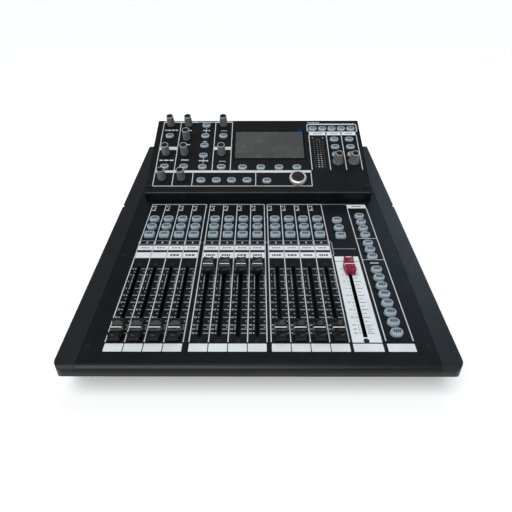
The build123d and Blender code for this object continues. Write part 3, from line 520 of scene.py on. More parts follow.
def inks_done(part, inks):
    kinds = (("print_white", "print"), ("labels", "label"), ("print_grey", "grey_print"),
             ("print_dark", "dark_print"))
    for ink, (name, look) in zip(inks, kinds):
        ink.done(f"{part}_{name}", look, f"{part}_paint")


# ---- Deck print ----
CHANNEL_PITCH = 19.5
CHANNELS = 12
PER_GROUP = 4
MASTER_LEFT = 94.0
MASTER_RIGHT = 123.6
COLUMN_LEFT = 127.6
COLUMN_RIGHT = 155.0
STRIP_TOP = 0.0
STRIP_END = -269.9             # front edge of the writing strip
LABEL_TOP = -259.9             # back edge of the writing strip
NUMBER_ROW = (-89.0, -96.5)
LABEL_ROWS = [(-99.4, -108.6), (-113.1, -124.5)]
LINE = 1.1                     # widths of the lines between channels and across them
FINE_LINE = 0.7
SLOT_MIDDLE = -195.9
TRAVEL_MIDDLE = -196.3
TRAVEL = 100.0
SCALE_NUMBERS = ["10", "5", "0", "5", "10", "20", "30", "40", "50", "60", "90"]
# Places of the scale's rows, as shares of the travel from its front end.
SCALE_PLACES = [1.01, 0.9, 0.785, 0.667, 0.555, 0.444, 0.333, 0.22, 0.11, 0.055, 0.0]
SCALE_BRACKET = (1, 3)         # the rows that the bar and the bracket span


def places_of_faders():
    found = []
    for node in [f"fader_{i}" for i in range(1, CHANNELS + 1)] + ["master_fader"]:
        low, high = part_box(node)
        found.append((low.x + high.x) / 2 / MM)
    return sorted(found)


def group_lines(channels):
    """Places of the five lines round a group of four channels."""
    left = channels[0] - CHANNEL_PITCH / 2
    return [left + CHANNEL_PITCH * i for i in range(PER_GROUP + 1)]


def strip_lines(ink, grey, lines):
    """White lines between the channels, closed at the top, and the row of small marks."""
    for x in lines:
        ink.line([(x, LABEL_TOP + 2.0), (x, STRIP_TOP)], LINE)
        ink.rect(x - 1.2, x + 1.2, NUMBER_ROW[1] + 1.8, NUMBER_ROW[0] - 2.0)
    ink.rect(lines[0] - LINE / 2, lines[-1] + LINE / 2, STRIP_TOP - 1.3, STRIP_TOP)
    for u in NUMBER_ROW:
        grey.line([(lines[0], u), (lines[-1], u)], FINE_LINE)
    for x in lines[:-1]:
        middle = x + CHANNEL_PITCH / 2
        ink.rect(middle - 0.8, middle + 0.8, NUMBER_ROW[1] + 2.2, NUMBER_ROW[0] - 2.2)


def label_cells(labels, lines):
    """White cells: two rows of channel labels, and the writing strip at the front."""
    gap = 1.5
    for a, b in zip(lines, lines[1:]):
        for top, bottom in LABEL_ROWS:
            labels.plate((a + b) / 2, (top + bottom) / 2, b - a - gap, top - bottom, 0.8)
        labels.plate((a + b) / 2, (LABEL_TOP + STRIP_END) / 2, b - a - gap * 0.6,
                     LABEL_TOP - STRIP_END, 0.5)


def dashes(ink, x, u, width, height, seed):
    """A short row of small bars, in place of lettering."""
    rng = random.Random(seed)
    count = rng.choice((3, 4, 4, 5))
    shares = [rng.uniform(0.7, 1.3) for _ in range(count)]
    gap = 0.22 * width / count
    total = sum(shares)
    left = x - width / 2
    for share in shares:
        length = (width - gap * (count - 1)) * share / total
        ink.plate(left + length / 2, u, length, height, height * 0.25)
        left += length + gap


def fader_scale(ticks, numbers, x):
    """Scale of one fader: ticks on both sides of the slot, numbers at the far left."""
    bottom = TRAVEL_MIDDLE - TRAVEL / 2
    rows = [bottom + TRAVEL * place for place in SCALE_PLACES]
    for u, text in zip(rows, SCALE_NUMBERS):
        ticks.rect(x + 3.0, x + 8.6, u - 0.5, u + 0.5)
        numbers.rect(x - 4.3, x - 2.9, u - 0.5, u + 0.5)
        numbers.number(text, x - 7.0, u, 3.2)
    for upper, lower in zip(rows[:-2], rows[1:-1]):
        u = (upper + lower) / 2
        ticks.rect(x + 6.8, x + 8.4, u - 0.6, u + 0.6)
        ticks.rect(x - 4.4, x - 2.9, u - 0.6, u + 0.6)
    # The upper part of the scale is tied together by a bar and a bracket.
    high, low = (rows[index] for index in SCALE_BRACKET)
    ticks.rect(x - 3.7, x - 3.1, low, high)
    ticks.rect(x + 8.0, x + 8.6, low, high)


def channel_tops(ink, x):
    """Small marks in the upper left corner of a channel: a tiny meter."""
    left = x - CHANNEL_PITCH / 2
    for u, columns in ((-6.0, (2.6, 5.6)), (-10.8, (5.6,))):
        for column in columns:
            ink.rect(left + column - 0.9, left + column + 0.9, u - 1.3, u + 1.3)
    ink.rect(left + 1.6, left + 6.8, -17.0, -14.6)


def deck_print():
    inks = ink_set(DECK)
    white, labels, grey, dark = inks
    places_x = places_of_faders()
    for first in range(0, CHANNELS, PER_GROUP):
        lines = group_lines(places_x[first:first + PER_GROUP])
        strip_lines(white, grey, lines)
        label_cells(labels, lines)
    grey.rect(lines[-1], COLUMN_LEFT, STRIP_TOP - 1.2, STRIP_TOP - 0.2)
    # A line runs from the last strip round the label rows, and on to the key column.
    turn = lines[-1] + 3.3
    grey.line([(lines[-1], -88.6), (lines[-1] + 2.2, -90.0), (turn, -93.0), (turn, -117.0),
               (lines[-1] + 1.4, -121.0)], 1.0)
    grey.rect(turn, MASTER_RIGHT, -106.4, -105.5)
    for a, b in ((MASTER_LEFT, MASTER_RIGHT), (COLUMN_LEFT, COLUMN_RIGHT)):
        labels.plate((a + b) / 2, (LABEL_TOP + STRIP_END) / 2, b - a, LABEL_TOP - STRIP_END, 0.5)
    for channel, x in enumerate(places_x[:-1]):
        fader_scale(grey, white, x)
        channel_tops(white, x)
        dashes(dark, x, sum(LABEL_ROWS[0]) / 2, 10.5, 1.6, channel)
        if channel > 1:
            dashes(dark, x, sum(LABEL_ROWS[1]) / 2, 11.0, 3.4, 40 + channel)
    master_strip(labels, dark, places_x[-1])
    column_frame(white, labels, dark)
    inks_done("deck", inks)


MASTER_STRIP_TOP = -121.6
MASTER_DIVIDER = -131.0
MASTER_STRIP_END = -258.4
SLOT_HALF = 55.0
SLOT_MARGIN = 2.2              # bare deck on either side of the slot
SCREW_ROOM = 8.4               # bare deck beyond the slot, for the screw behind it
MASTER_SCREW = -256.15         # the screw in front of the slot
MASTER_SCREW_GAP = 3.0         # radius of the round opening at that screw
SCREW_BANDS = 10               # bands that the round opening is cut from


def master_strip(labels, dark, x):
    """White panel round the master fader, open along the slot and at its screws."""
    left = MASTER_LEFT
    right = MASTER_RIGHT
    slot_top = SLOT_MIDDLE + SLOT_HALF + SLOT_MARGIN
    slot_end = SLOT_MIDDLE - SLOT_HALF - SLOT_MARGIN + 1.4
    labels.rect(left, right, slot_top + SCREW_ROOM, MASTER_STRIP_TOP)
    labels.rect(left, x - SLOT_MARGIN, slot_end, slot_top + SCREW_ROOM)
    labels.rect(x + SLOT_MARGIN, right, slot_end, slot_top + SCREW_ROOM)
    band = (slot_end - MASTER_STRIP_END) / SCREW_BANDS
    for index in range(SCREW_BANDS):
        low = MASTER_STRIP_END + index * band
        offset = abs(low + band / 2 - MASTER_SCREW)
        half = math.sqrt(max(0.0, MASTER_SCREW_GAP ** 2 - offset ** 2))
        labels.rect(left, x - half, low, low + band)
        labels.rect(x + half, right, low, low + band)
    dark.rect(left, x - SLOT_MARGIN, MASTER_DIVIDER - 0.4, MASTER_DIVIDER + 0.4)
    dark.rect(x + SLOT_MARGIN, right, MASTER_DIVIDER - 0.4, MASTER_DIVIDER + 0.4)
    bottom = TRAVEL_MIDDLE - TRAVEL / 2
    for place, text in zip(SCALE_PLACES, SCALE_NUMBERS):
        u = bottom + TRAVEL * place
        dark.number(text, x - 8.8, u, 3.6)
        dark.rect(x - 5.6, x - 3.4, u - 0.35, u + 0.35)
        dark.rect(x + 3.2, x + 10.2, u - 0.35, u + 0.35)
    for a, b in zip(SCALE_PLACES, SCALE_PLACES[1:]):
        u = bottom + TRAVEL * (a + b) / 2
        dark.rect(x + 3.4, x + 7.6, u - 0.3, u + 0.3)
        dark.rect(x - 5.2, x - 3.8, u - 0.3, u + 0.3)


def column_frame(white, labels, dark):
    """Frame and header of the key column at the right, with its two dividers."""
    middle = (COLUMN_LEFT + COLUMN_RIGHT) / 2
    labels.rect(COLUMN_LEFT, COLUMN_RIGHT, -11.2, -1.6)
    dashes(dark, middle, -6.4, 13.0, 2.0, 7)
    for x in (COLUMN_LEFT, COLUMN_RIGHT):
        white.line([(x, LABEL_TOP + 3.6), (x, -11.0)], LINE)
    for u in (-84.0, -127.8):
        white.line([(COLUMN_LEFT, u), (COLUMN_RIGHT, u)], 0.8)
    dashes(white, middle, -134.2, 10.0, 2.2, 9)


# ---- Bridge print ----
FRAME_LEFT = -153.4
FRAME_RIGHT = 79.0
FRAME_BOTTOM = 14.5
FRAME_TOP = 158.3
FRAME_LINE = 1.1
GROUP_LEFT = -125.5            # the first line inside the frame
GROUP_RIGHT = (-69.0, -41.7)   # the last group of knobs


def bridge_frames(ink):
    """Lines that box in the groups of controls on the bridge."""
    ink.line([(FRAME_LEFT, FRAME_BOTTOM), (FRAME_LEFT, FRAME_TOP)], FRAME_LINE)
    ink.line([(FRAME_LEFT, FRAME_TOP), (GROUP_RIGHT[1], FRAME_TOP)], 2.7)
    ink.line([(FRAME_LEFT, FRAME_BOTTOM), (FRAME_RIGHT, FRAME_BOTTOM)], FRAME_LINE)
    for x in (GROUP_LEFT, *GROUP_RIGHT):
        ink.line([(x, 46.0), (x, FRAME_TOP)], FRAME_LINE)
    for x in (GROUP_LEFT, -96.6, -3.5, FRAME_RIGHT - 0.5):
        ink.line([(x, FRAME_BOTTOM), (x, 43.0)], FRAME_LINE)
    for a, b in ((FRAME_LEFT, GROUP_LEFT), GROUP_RIGHT):
        ink.rect(a, b, 91.5, 98.5)
    ink.rect(FRAME_LEFT, FRAME_RIGHT, 41.8, 46.5)
    for x in (80.8, 108.5, 132.3, 156.2):
        ink.line([(x, 47.5), (x, 126.0)], FRAME_LINE)
    page = shifted(rounded_outline(79.6, 19.4, 4.0, 3), 118.9, 143.6)
    ink.line(page, 1.3, closed=True)
    ink.rect(82.0, 155.6, 150.9, 153.4)


def bridge_labels(labels, dark, white, grey):
    """White headers over the right-hand groups, and bars in place of captions."""
    for index, (a, b) in enumerate(((81.4, 107.6), (109.4, 131.5), (133.2, 155.6))):
        labels.rect(a, b, 125.6, 132.6)
        dashes(dark, (a + b) / 2, 129.1, (b - a) * 0.5, 1.6, 60 + index)
    # Captions: white bars under the knobs, beside them and above some keys.
    captions = [(-139.6, 138.1, 20.9), (-111.5, 137.4, 9.0), (-111.5, 103.8, 9.0), (-83.0, 137.3, 10.9),
                (-83.8, 110.6, 5.4), (-83.1, 67.4, 14.1), (-139.5, 68.3, 21.4), (-111.5, 68.9, 11.6)]
    for index, (x, w, width) in enumerate(captions):
        dashes(white, x, w, width, 2.4, 80 + index)
    dashes(dark, -83.0, FRAME_TOP, 30.0, 1.2, 91)
    dashes(white, 90.0, 156.4, 19.0, 1.5, 92)
    for low, high in ((131.0, 142.5), (62.0, 74.0)):
        white.rect(-83.8, -83.0, low, high)
    # Two level symbols: a bar with its right end bent down.
    for x, w in ((-54.7, 136.6), (-54.3, 66.2)):
        grey.line([(x - 4.8, w - 1.0), (x - 3.0, w), (x + 3.0, w), (x + 4.8, w - 1.6)], 1.6)


METER_ROWS = 14
METER_PITCH = 4.45
METER_FIRST = 54.0             # the lowest row of lamps


def meter_lamps():
    """Rows of lamps in the level meter, with a scale of small marks."""
    low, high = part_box("level_meter")
    x = (low.x + high.x) / 2 / MM
    bright = Print(BRIDGE, 0.12)
    dim = Print(BRIDGE, 0.12)
    for row in range(METER_ROWS):
        w = METER_FIRST + METER_PITCH * row
        inner = bright if row < 7 else dim
        for column in (-2.5, 2.2):
            inner.plate(x + column, w, 2.4 if row < 4 else 1.8, 1.9, 0.3)
        dim.rect(x - 8.4, x - 6.4, w - 0.6, w + 0.6)
        dim.rect(x + 5.6, x + 7.8, w - 0.6, w + 0.6)
    top = METER_FIRST + METER_PITCH * METER_ROWS
    dashes(dim, x, top - 0.4, 8.0, 1.4, 70)
    for column in (-8.4, 7.8):
        bright.disc(x + column, top + 2.6, 1.1)
    bright.done("meter_lamps_bright", "lamp", "meter_lens")
    dim.done("meter_lamps_dim", "lamp_dim", "meter_lens")


BEND_HIGHLIGHT_HALF = 161.0              # half length of the painted highlight line along the front bend
BEND_HIGHLIGHT_U = (1.7, 2.3)            # its two edges


def bridge_print():
    inks = ink_set(BRIDGE)
    white, labels, grey, dark = inks
    bridge_frames(white)
    bridge_labels(labels, dark, white, grey)
    inks_done("bridge", inks)
    # Painted highlight: a pale strip printed along the front bend, where the light would catch the
    # rounded edge.
    bend = Print(BRIDGE)
    bend.rect(-BEND_HIGHLIGHT_HALF, BEND_HIGHLIGHT_HALF, *BEND_HIGHLIGHT_U)
    bend.done("bridge_bend_painted_highlight", "painted_bend_highlight", "bridge_paint")
    meter_lamps()


# ---- Film tab ----
FILM_TAB = (6.4, 8.0)          # width and length


def film_tab():
    """Blue pull tab stuck to the far right corner of the screen film."""
    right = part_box("screen_film")[1].x / MM
    far = max(BRIDGE.local(point)[1] for point in mesh_points("screen_film"))
    mesh = bmesh.new()
    outline = shifted(rounded_outline(*FILM_TAB, 0.8), right - FILM_TAB[0] / 2, far - FILM_TAB[1] / 2)
    prism(mesh, BRIDGE, outline, 0.1, 0.38)
    finish_mesh("film_tab", mesh, ["tab"], "console", 20.0)


# ---- Keys ----
# Outline of a key: height above the panel as a share of the key's height (plain
# millimetres below the panel), and how far the outline is drawn in there.
KEY_SIDES = [(-3.0, 0.0), (0.4, 0.0), (0.6, 0.1), (0.8, 0.35), (0.93, 0.75), (0.99, 1.2)]
KEY_FACE = [(0.985, 1.5), (0.94, 2.4)]
CORNER_RADII = {"select": 4.6, "listen": 2.6}
DECK_KEY_HEIGHT = 4.0
BRIDGE_KEY_HEIGHT = 2.6


def key_outline(kind, size, inset):
    """Plain keys have full round ends, the others smaller corner radii."""
    width, length = size
    radius = CORNER_RADII.get(kind, min(size) / 2)
    return rounded_outline(width - 2 * inset, length - 2 * inset, max(0.4, radius - inset), 6)


def add_key(mesh, panel, x, u, height, kind, size):
    """Soft key: upright sides, a rounded rim and a slightly sunk face, whose darker colour is painted
    shade set against the rim's highlight.
    """
    rings = []
    for share, inset in KEY_SIDES + KEY_FACE:
        h = share if share < 0 else share * height
        outline = shifted(key_outline(kind, size, inset), x, u)
        rings.append([panel.at(px, pu, h) for px, pu in outline])
    stack(mesh, rings, [0] * len(KEY_SIDES) + [1] * len(KEY_FACE))


def make_keys(node, panel, height, kinds, size):
    """All keys of a node. kinds repeats along them, from front left to back right."""
    mesh = bmesh.new()
    marks = Print(panel)
    for index, (x, u) in enumerate(places(node, panel)):
        kind = kinds[index % len(kinds)]
        add_key(mesh, panel, x, u, height, kind, size)
        key_legend(marks, x, u + 0.2, KEY_FACE[-1][0] * height, index + len(node))
    piece = finish_mesh(f"{node}_look", mesh, ["key", "shaded_key_face"], node, 60.0)
    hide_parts(node)
    finish_mesh(f"{node}_legend", marks.mesh, ["legend"], node, 20.0)


LEGEND_WIDTH = 7.4
LEGEND_LENGTH = 3.3
LEGEND_SLANT = 0.6
LEGEND_GAP = 0.6


def key_legend(marks, x, u, height, seed):
    """Dark slanted bars printed on top of a key."""
    rng = random.Random(seed * 13 + 5)
    bars = rng.choice((3, 3, 4))
    shares = [rng.uniform(0.8, 1.2) for _ in range(bars)]
    left = x - LEGEND_WIDTH / 2
    low = u - LEGEND_LENGTH / 2
    high = u + LEGEND_LENGTH / 2
    for share in shares:
        length = (LEGEND_WIDTH - LEGEND_GAP * (bars - 1)) * share / sum(shares)
        right = left + length
        outline = [(left, low), (right, low), (right + LEGEND_SLANT, high), (left + LEGEND_SLANT, high)]
        prism(marks.mesh, marks.panel, outline, height - 0.1, height + 0.06)
        left += length + LEGEND_GAP


CHANNEL_KEY = (13.5, 11.3)
COLUMN_KEY = (13.2, 10.4)
BRIDGE_KEY = (13.2, 9.4)


KEY_KINDS = {
    "select_keys": ("select",),
    "on_keys": ("plain",),
    "listen_keys": ("listen",),
    "master_keys": ("listen", "plain", "select"),
}


def all_keys():
    for node, kinds in KEY_KINDS.items():
        make_keys(node, DECK, DECK_KEY_HEIGHT, kinds, CHANNEL_KEY)
    for node in ("layer_keys", "send_keys"):
        make_keys(node, DECK, DECK_KEY_HEIGHT, ("plain",), COLUMN_KEY)
    for node in ("input_keys", "screen_keys", "monitor_keys"):
        make_keys(node, BRIDGE, BRIDGE_KEY_HEIGHT, ("plain",), BRIDGE_KEY)


# ---- Fader caps ----
# Heights above the deck, and half widths at the bottom, at the end of the flare and on top.
CAP_BOTTOM = 3.0
CAP_WAIST = 5.5
CAP_RIDGE = 9.3
CAP_LIP = 12.2
CAP_BASE_HALF = 7.0
CAP_WAIST_HALF = 6.4
CAP_TOP_HALF = 5.5
RIDGE_HALF = 0.75              # half length of the ridge across the middle
FLARE_FROM = 3.0               # the flare dies out between these distances from the ridge
FLARE_TO = 10.0
# Side outline of a cap: distance from the ridge and height above the deck.
CAP_OUTLINE = [
    (0.0, 9.3), (0.75, 9.3), (1.05, 9.15), (1.9, 8.2), (3.1, 7.45), (4.4, 7.7), (5.8, 8.5), (7.1, 9.8),
    (8.1, 11.2), (8.7, 11.95), (9.2, 12.15), (9.9, 12.1), (10.7, 11.5), (11.5, 10.3), (12.05, 8.8),
    (12.3, 7.4),
]


def cap_half_width(height, u=0.0):
    """Half width of a cap at a height: it flares out towards the bottom under the ridge."""
    if height < CAP_WAIST:
        share = (height - CAP_BOTTOM) / (CAP_WAIST - CAP_BOTTOM)
        middle = CAP_BASE_HALF + (CAP_WAIST_HALF - CAP_BASE_HALF) * share ** 0.7
    else:
        share = (height - CAP_WAIST) / (CAP_LIP - CAP_WAIST)
        middle = CAP_WAIST_HALF + (CAP_TOP_HALF - CAP_WAIST_HALF) * share
    fade = min(1.0, max(0.0, (abs(u) - FLARE_FROM) / (FLARE_TO - FLARE_FROM)))
    fade = fade * fade * (3 - 2 * fade)
    return middle + (CAP_TOP_HALF - middle) * fade


def cap_section(x, rest_u, u, top):
    """Points round the cap at one place along its length, from the lower left, clockwise."""
    dish = 0.25 + 0.62 * max(0.0, top - CAP_RIDGE) if abs(u) > RIDGE_HALF + 0.2 else 0.0
    edge = cap_half_width(top, u)
    inner = edge - 0.45
    left = [(-cap_half_width(height, u), height) for height in (CAP_BOTTOM, 3.6, 4.4, CAP_WAIST)]
    left.append((-cap_half_width(top - 0.5, u), top - 0.5))
    left.append((-edge + 0.12, top - 0.12))
    across = []
    for step in range(9):
        place = -inner + 2 * inner * step / 8
        across.append((place, top - dish * (1 - (place / inner) ** 2)))
    right = [(-a, height) for a, height in reversed(left)]
    return [DECK.at(x + a, rest_u + u, height) for a, height in left + across + right]


def make_cap(node, look):
    """Detailed cap with its white index line, on its own steel lever."""
    low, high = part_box(node)
    x = DECK.local((low + high) / 2)[0]
    rest_u = fader_place(node)
    mesh = bmesh.new()
    far = CAP_OUTLINE[1:]
    stations = [(-u, height) for u, height in reversed(far)] + far
    stack(mesh, [cap_section(x, rest_u, u, height) for u, height in stations])
    piece = finish_mesh(f"{node}_cap", mesh, [look], node, 35.0)
    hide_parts(node)
    index_line(node, x, rest_u)
    lever(node, x, rest_u)


def fader_place(node):
    """Place of a cap's middle along the deck: the carriage is centred under it."""
    us = [DECK.local(point)[1] for point in mesh_points(node)]
    return (min(us) + max(us)) / 2


LINE_PROUD = 0.04
LINE_SINK = 0.3


def index_line(node, x, rest_u):
    """White line over the ridge and a little way down both sides."""
    mesh = bmesh.new()
    width = RIDGE_HALF * 0.9
    side = [(height, cap_half_width(height) + LINE_PROUD) for height in (CAP_WAIST, CAP_RIDGE - 0.5)]
    corner = cap_half_width(CAP_RIDGE) - 0.1
    path = [(-across, height) for height, across in side]
    path += [(-corner, CAP_RIDGE + LINE_PROUD), (corner, CAP_RIDGE + LINE_PROUD)]
    path += [(across, height) for height, across in reversed(side)]
    rings = []
    for across, height in path:
        inner_across = across - math.copysign(LINE_SINK, across)
        inner_height = height - LINE_SINK
        rings.append([
            DECK.at(x + across, rest_u - width, height),
            DECK.at(x + across, rest_u + width, height),
            DECK.at(x + inner_across, rest_u + width, inner_height),
            DECK.at(x + inner_across, rest_u - width, inner_height),
        ])
    stack(mesh, rings)
    finish_mesh(f"{node}_line", mesh, ["cap_line"], node, 50.0)


def lever(node, x, rest_u):
    """Flat steel blade from the cap down through the slot, on its carriage."""
    mesh = bmesh.new()
    blade = shifted(rounded_outline(1.2, 4.0, 0.4, 2), x, rest_u)
    prism(mesh, DECK, blade, -4.2, CAP_BOTTOM + 0.4)
    carriage = shifted(rounded_outline(5.4, 8.0, 0.8, 3), x, rest_u)
    prism(mesh, DECK, carriage, -10.0, -4.0)
    finish_mesh(f"{node}_lever", mesh, ["track"], node, 30.0)


def all_caps():
    for i in range(1, CHANNELS + 1):
        make_cap(f"fader_{i}", "cap")
    make_cap("master_fader", "cap_red")


# ---- Knobs ----
def knob_ring(centre_x, centre_u, radius, h, steps, flute=0.0, flutes=0, phase=0.0):
    """Ring of points about a knob's axis. flute is the depth of the flutes round it."""
    points = []
    for i in range(steps):
        angle = 2 * math.pi * i / steps
        r = radius
        if flutes:
            wave = 0.5 + 0.5 * math.cos(flutes * angle + phase)
            r = radius - flute * (1 - wave ** 0.6)
        points.append(BRIDGE.at(centre_x + r * math.cos(angle), centre_u + r * math.sin(angle), h))
    return points


def make_knob(node, base, top, flutes, flute):
    """Tapered knob of radius base to top: grooved sides, bright ring round a black top."""
    pos = Vector(JOINTS[f"{node}_turn"]["pos_m"])
    x, u, _ = BRIDGE.local(pos)
    steps = flutes * 8
    mesh = bmesh.new()
    # Height above the bridge, radius, and how deep the flutes are there.
    levels = [
        (0.85, base - 0.5, 0.0), (1.1, base - 0.12, 0.0), (2.1, base - 0.05, 0.1), (3.0, base - 0.1, 1.0),
        (6.0, base - (base - top) * 0.30, 1.0), (10.0, base - (base - top) * 0.55, 1.0),
        (14.0, base - (base - top) * 0.8, 1.0), (16.2, top - 0.02, 0.8), (16.9, top - 0.02, 0.0),
    ]
    rings = [knob_ring(x, u, r, h, steps, flute * depth, flutes) for h, r, depth in levels]
    looks = [0] * (len(levels) - 1)
    bright = [(16.95, top), (17.75, top), (17.98, top - 0.2), (17.98, top - 0.5), (17.7, top - 0.7)]
    rings += [knob_ring(x, u, r, h, steps) for h, r in bright]
    looks += [1] * len(bright)
    inner = [(17.5, top - 0.8), (17.6, top - 1.3), (17.65, 1.2)]
    rings += [knob_ring(x, u, r, h, steps) for h, r in inner]
    looks += [2] * len(inner)
    stack(mesh, rings, looks)
    piece = finish_mesh(f"{node}_look", mesh, ["knob", "ring", "knob_top"], node, 38.0)
    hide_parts(node)
    shaft = bmesh.new()
    stack(shaft, [knob_ring(x, u, 3.0, h, 24) for h in (-8.2, 1.0)])
    finish_mesh(f"{node}_shaft", shaft, ["steel"], node, 30.0)


def make_dial():
    """Wide silver dial with a black cap and a small notch at its front."""
    steps = 96
    x, u = DIAL_X, DIAL_U
    mesh = bmesh.new()

    def ring(radius, h, notch=0.0):
        points = []
        for i in range(steps):
            angle = 2 * math.pi * i / steps
            r = radius
            if notch and abs(math.degrees(angle) - 270) < 6:
                r = radius - notch
            points.append(BRIDGE.at(x + r * math.cos(angle), u + r * math.sin(angle), h))
        return points

    side = [ring(11.6, 1.25), ring(12.45, 1.5), ring(12.66, 2.2), ring(12.6, 5.2), ring(12.3, 6.1),
            ring(11.4, 6.75, 0.4), ring(10.0, 6.9), ring(9.45, 6.85)]
    cap = [ring(9.3, 6.6), ring(9.25, 7.3), ring(9.0, 7.8), ring(8.3, 7.96), ring(5.0, 7.8),
           ring(1.5, 7.7)]
    stack(mesh, side + cap, [0] * (len(side) - 1) + [1] * len(cap))
    looks = ["dial", "knob_top"]
    piece = finish_mesh("select_dial_look", mesh, looks, "select_dial", 38.0)
    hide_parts("select_dial")


# Base and top radius, number of flutes and their depth.
SMALL_KNOB = (6.2, 5.5, 18, 0.35)
LEVEL_KNOB = (8.2, 5.4, 9, 1.5)


def all_knobs():
    for i in range(1, 10):
        make_knob(f"knob_{i}", *SMALL_KNOB)
    for node in ("phones_knob", "monitor_knob"):
        make_knob(node, *LEVEL_KNOB)
    make_dial()


# ---- Back of the console ----
def rear_at(x, z, out):
    """World point on the connector wall: out is millimetres behind it."""
    return Vector((x, REAR_Y + out * MM, z))


REAR_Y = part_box("base_pan")[1].y


def rear_ring(x, z, radius, out, steps):
    angles = [2 * math.pi * i / steps for i in range(steps)]
    return [rear_at(x + radius * MM * math.cos(a), z + radius * MM * math.sin(a), out) for a in angles]


def rear_disc(mesh, x, z, radius, out_a, out_b, steps=28, look=0):
    stack(mesh, [rear_ring(x, z, radius, out, steps) for out in (out_a, out_b)], [look])


def rear_tube(mesh, x, z, outer, inner, out_a, out_b, steps=28, look=0):
    """Ring-shaped collar standing on the connector wall."""
    corners = ((inner, out_a), (outer, out_a), (outer, out_b), (inner, out_b))
    rings = [rear_ring(x, z, radius, out, steps) for radius, out in corners]
    loops = stack(mesh, rings, [look] * 3, closed=False)
    for i in range(steps):
        j = (i + 1) % steps
        mesh.faces.new((loops[3][i], loops[3][j], loops[0][j], loops[0][i])).material_index = look


def socket_places(node):
    """(x, z) in metres of the middle of each socket, row by row."""
    found = []
    for island in solids(node):
        xs = [point.x for point in island]
        zs = [point.z for point in island]
        found.append(((min(xs) + max(xs)) / 2, (min(zs) + max(zs)) / 2))
    return sorted(found, key=lambda place: (round(place[1], 3), place[0]))


def rear_details():
    """Inserts, pins, collars and screws of the sockets."""
    mesh = bmesh.new()
    for x, z in socket_places("xlr_sockets"):
        rear_disc(mesh, x, z, 7.6, -12.0, -1.4, look=0)
        for angle in (90, 210, 330):
            px = x + 4.0 * MM * math.cos(math.radians(angle))
            pz = z + 4.0 * MM * math.sin(math.radians(angle))
            rear_disc(mesh, px, pz, 1.2, -2.0, -1.3, 12, look=1)
        for side in (-1, 1):
            rear_disc(mesh, x + side * 9.4 * MM, z + side * 12.0 * MM, 1.9, 1.7, 2.35, 16, look=2)
    for x, z in socket_places("jack_sockets"):
        rear_tube(mesh, x, z, 6.0, 3.4, 2.4, 2.95, look=1)
    x, z = socket_places("power_inlet")[0]
    for offset in (-7.0, 0.0, 7.0):
        px = x + offset * MM
        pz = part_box("power_inlet")[0].z + 16.5 * MM + (3.0 * MM if offset == 0.0 else -1.0 * MM)
        rear_disc(mesh, px, pz, 1.3, -14.5, -4.0, 10, look=1)
    finish_mesh("rear_details", mesh, ["socket", "contact", "screw"], "console", 30.0)


# ---- Stage ----
FLOOR_HALF = 40.0


def make_floor():
    mesh = bmesh.new()
    bmesh.ops.create_grid(mesh, x_segments=40, y_segments=40, size=FLOOR_HALF)
    data = bpy.data.meshes.new("floor")
    mesh.to_mesh(data)
    mesh.free()
    nodes = Nodes("floor_pale")
    blotch = nodes.noise(1.4, 3.0)
    pale = nodes.ramp(blotch, (0.86, 0.86, 0.86), (0.88, 0.88, 0.88))
    nodes.link(pale, nodes.shader.inputs["Base Color"])
    nodes.shader.inputs["Roughness"].default_value = 0.9
    nodes.shader.inputs["Emission Color"].default_value = (1.0, 1.0, 1.0, 1.0)
    nodes.shader.inputs["Emission Strength"].default_value = 0.3
    data.materials.append(nodes.material)
    placed("floor", data)


def lamp(name, kind, power):
    data = bpy.data.lights.new(name, kind)
    data.energy = power
    return placed(name, data)


def area_light(name, place, target, size, power, colour=(1.0, 1.0, 1.0)):
    light = lamp(name, "AREA", power)
    light.data.shape = "RECTANGLE"
    light.data.size, light.data.size_y = size
    light.data.color = colour
    light.location = place
    direction = Vector(target) - Vector(place)
    light.rotation_euler = direction.to_track_quat("-Z", "Y").to_euler()


def sun_light(name, azimuth, elevation, strength, angle):
    """Soft distant light; azimuth is in degrees from straight in front, positive to the right."""
    light = lamp(name, "SUN", strength)
    light.data.angle = math.radians(angle)
    turn = math.radians(azimuth)
    rise = math.radians(elevation)
    source = Vector((math.sin(turn) * math.cos(rise), -math.cos(turn) * math.cos(rise), math.sin(rise)))
    light.rotation_euler = (-source).to_track_quat("-Z", "Y").to_euler()


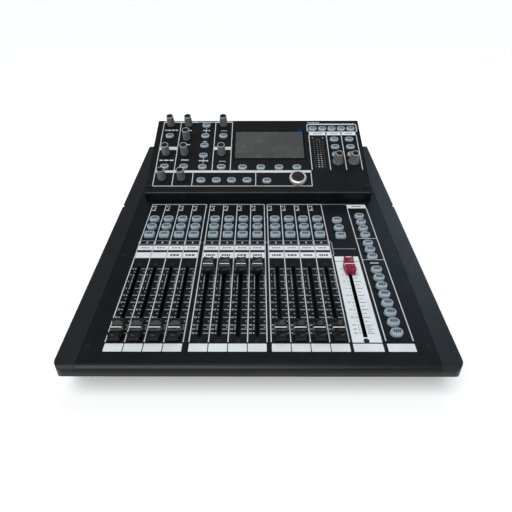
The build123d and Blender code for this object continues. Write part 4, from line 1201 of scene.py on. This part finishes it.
def make_world():
    """Bright near the horizon and dim overhead, like a white room with a dark ceiling."""
    world = bpy.data.worlds.new("studio")
    bpy.context.scene.world = world
    world.use_nodes = True
    tree = world.node_tree
    coords = tree.nodes.new("ShaderNodeTexCoord")
    split = tree.nodes.new("ShaderNodeSeparateXYZ")
    ramp = tree.nodes.new("ShaderNodeValToRGB")
    stops = ramp.color_ramp.elements
    stops[0].position = 0.03
    stops[0].color = (1.0, 1.0, 1.0, 1.0)
    stops[1].position = 0.28
    stops[1].color = (0.13, 0.14, 0.15, 1.0)
    tree.links.new(coords.outputs["Generated"], split.inputs["Vector"])
    tree.links.new(split.outputs["Z"], ramp.inputs["Fac"])
    tree.links.new(ramp.outputs["Color"], tree.nodes["Background"].inputs["Color"])
    tree.nodes["Background"].inputs["Strength"].default_value = 1.0


def make_lights():
    make_world()
    sun_light("key", -28.0, 58.0, 2.4, 50.0)
    area_light("sheen", (1.0, 1.3, 1.0), (0.17, 0.0, 0.1), (0.5, 0.6), 4.5, (0.62, 0.82, 1.0))
    area_light("overhead", (0.0, 0.35, 1.5), (0.0, 0.2, 0.1), (0.5, 0.35), 1.5)
    bpy.context.scene.view_settings.view_transform = "Standard"


# ---- Camera ----
CAMERA_U = -546.05             # along the deck from the top of the strips
CAMERA_N = 340.63              # above the deck
CAMERA_DOWN = 38.68            # degrees below the deck's own direction
CAMERA_YAW = 0.2755            # degrees to the left
LENS = 30.88                   # millimetres on a 36 mm sensor


def make_camera():
    data = bpy.data.cameras.new("camera")
    data.lens = LENS
    data.sensor_width = 36.0
    data.clip_start = 0.01
    camera = placed("camera", data)
    down = math.radians(CAMERA_DOWN)
    yaw = math.radians(CAMERA_YAW)
    ahead = DECK.along * math.cos(down) - DECK.normal * math.sin(down)
    forward = ahead * math.cos(yaw) - RIGHT * math.sin(yaw)
    right = RIGHT * math.cos(yaw) + ahead * math.sin(yaw)
    up = right.cross(forward)
    turn = Matrix((right, up, -forward)).transposed().to_4x4()
    camera.matrix_world = Matrix.Translation(DECK.at(0.0, CAMERA_U, CAMERA_N)) @ turn
    bpy.context.scene.camera = camera


make_camera()
make_lights()
make_floor()
dress_cad()
deck_print()
bridge_print()
film_tab()
all_keys()
all_caps()
all_knobs()
rear_details()
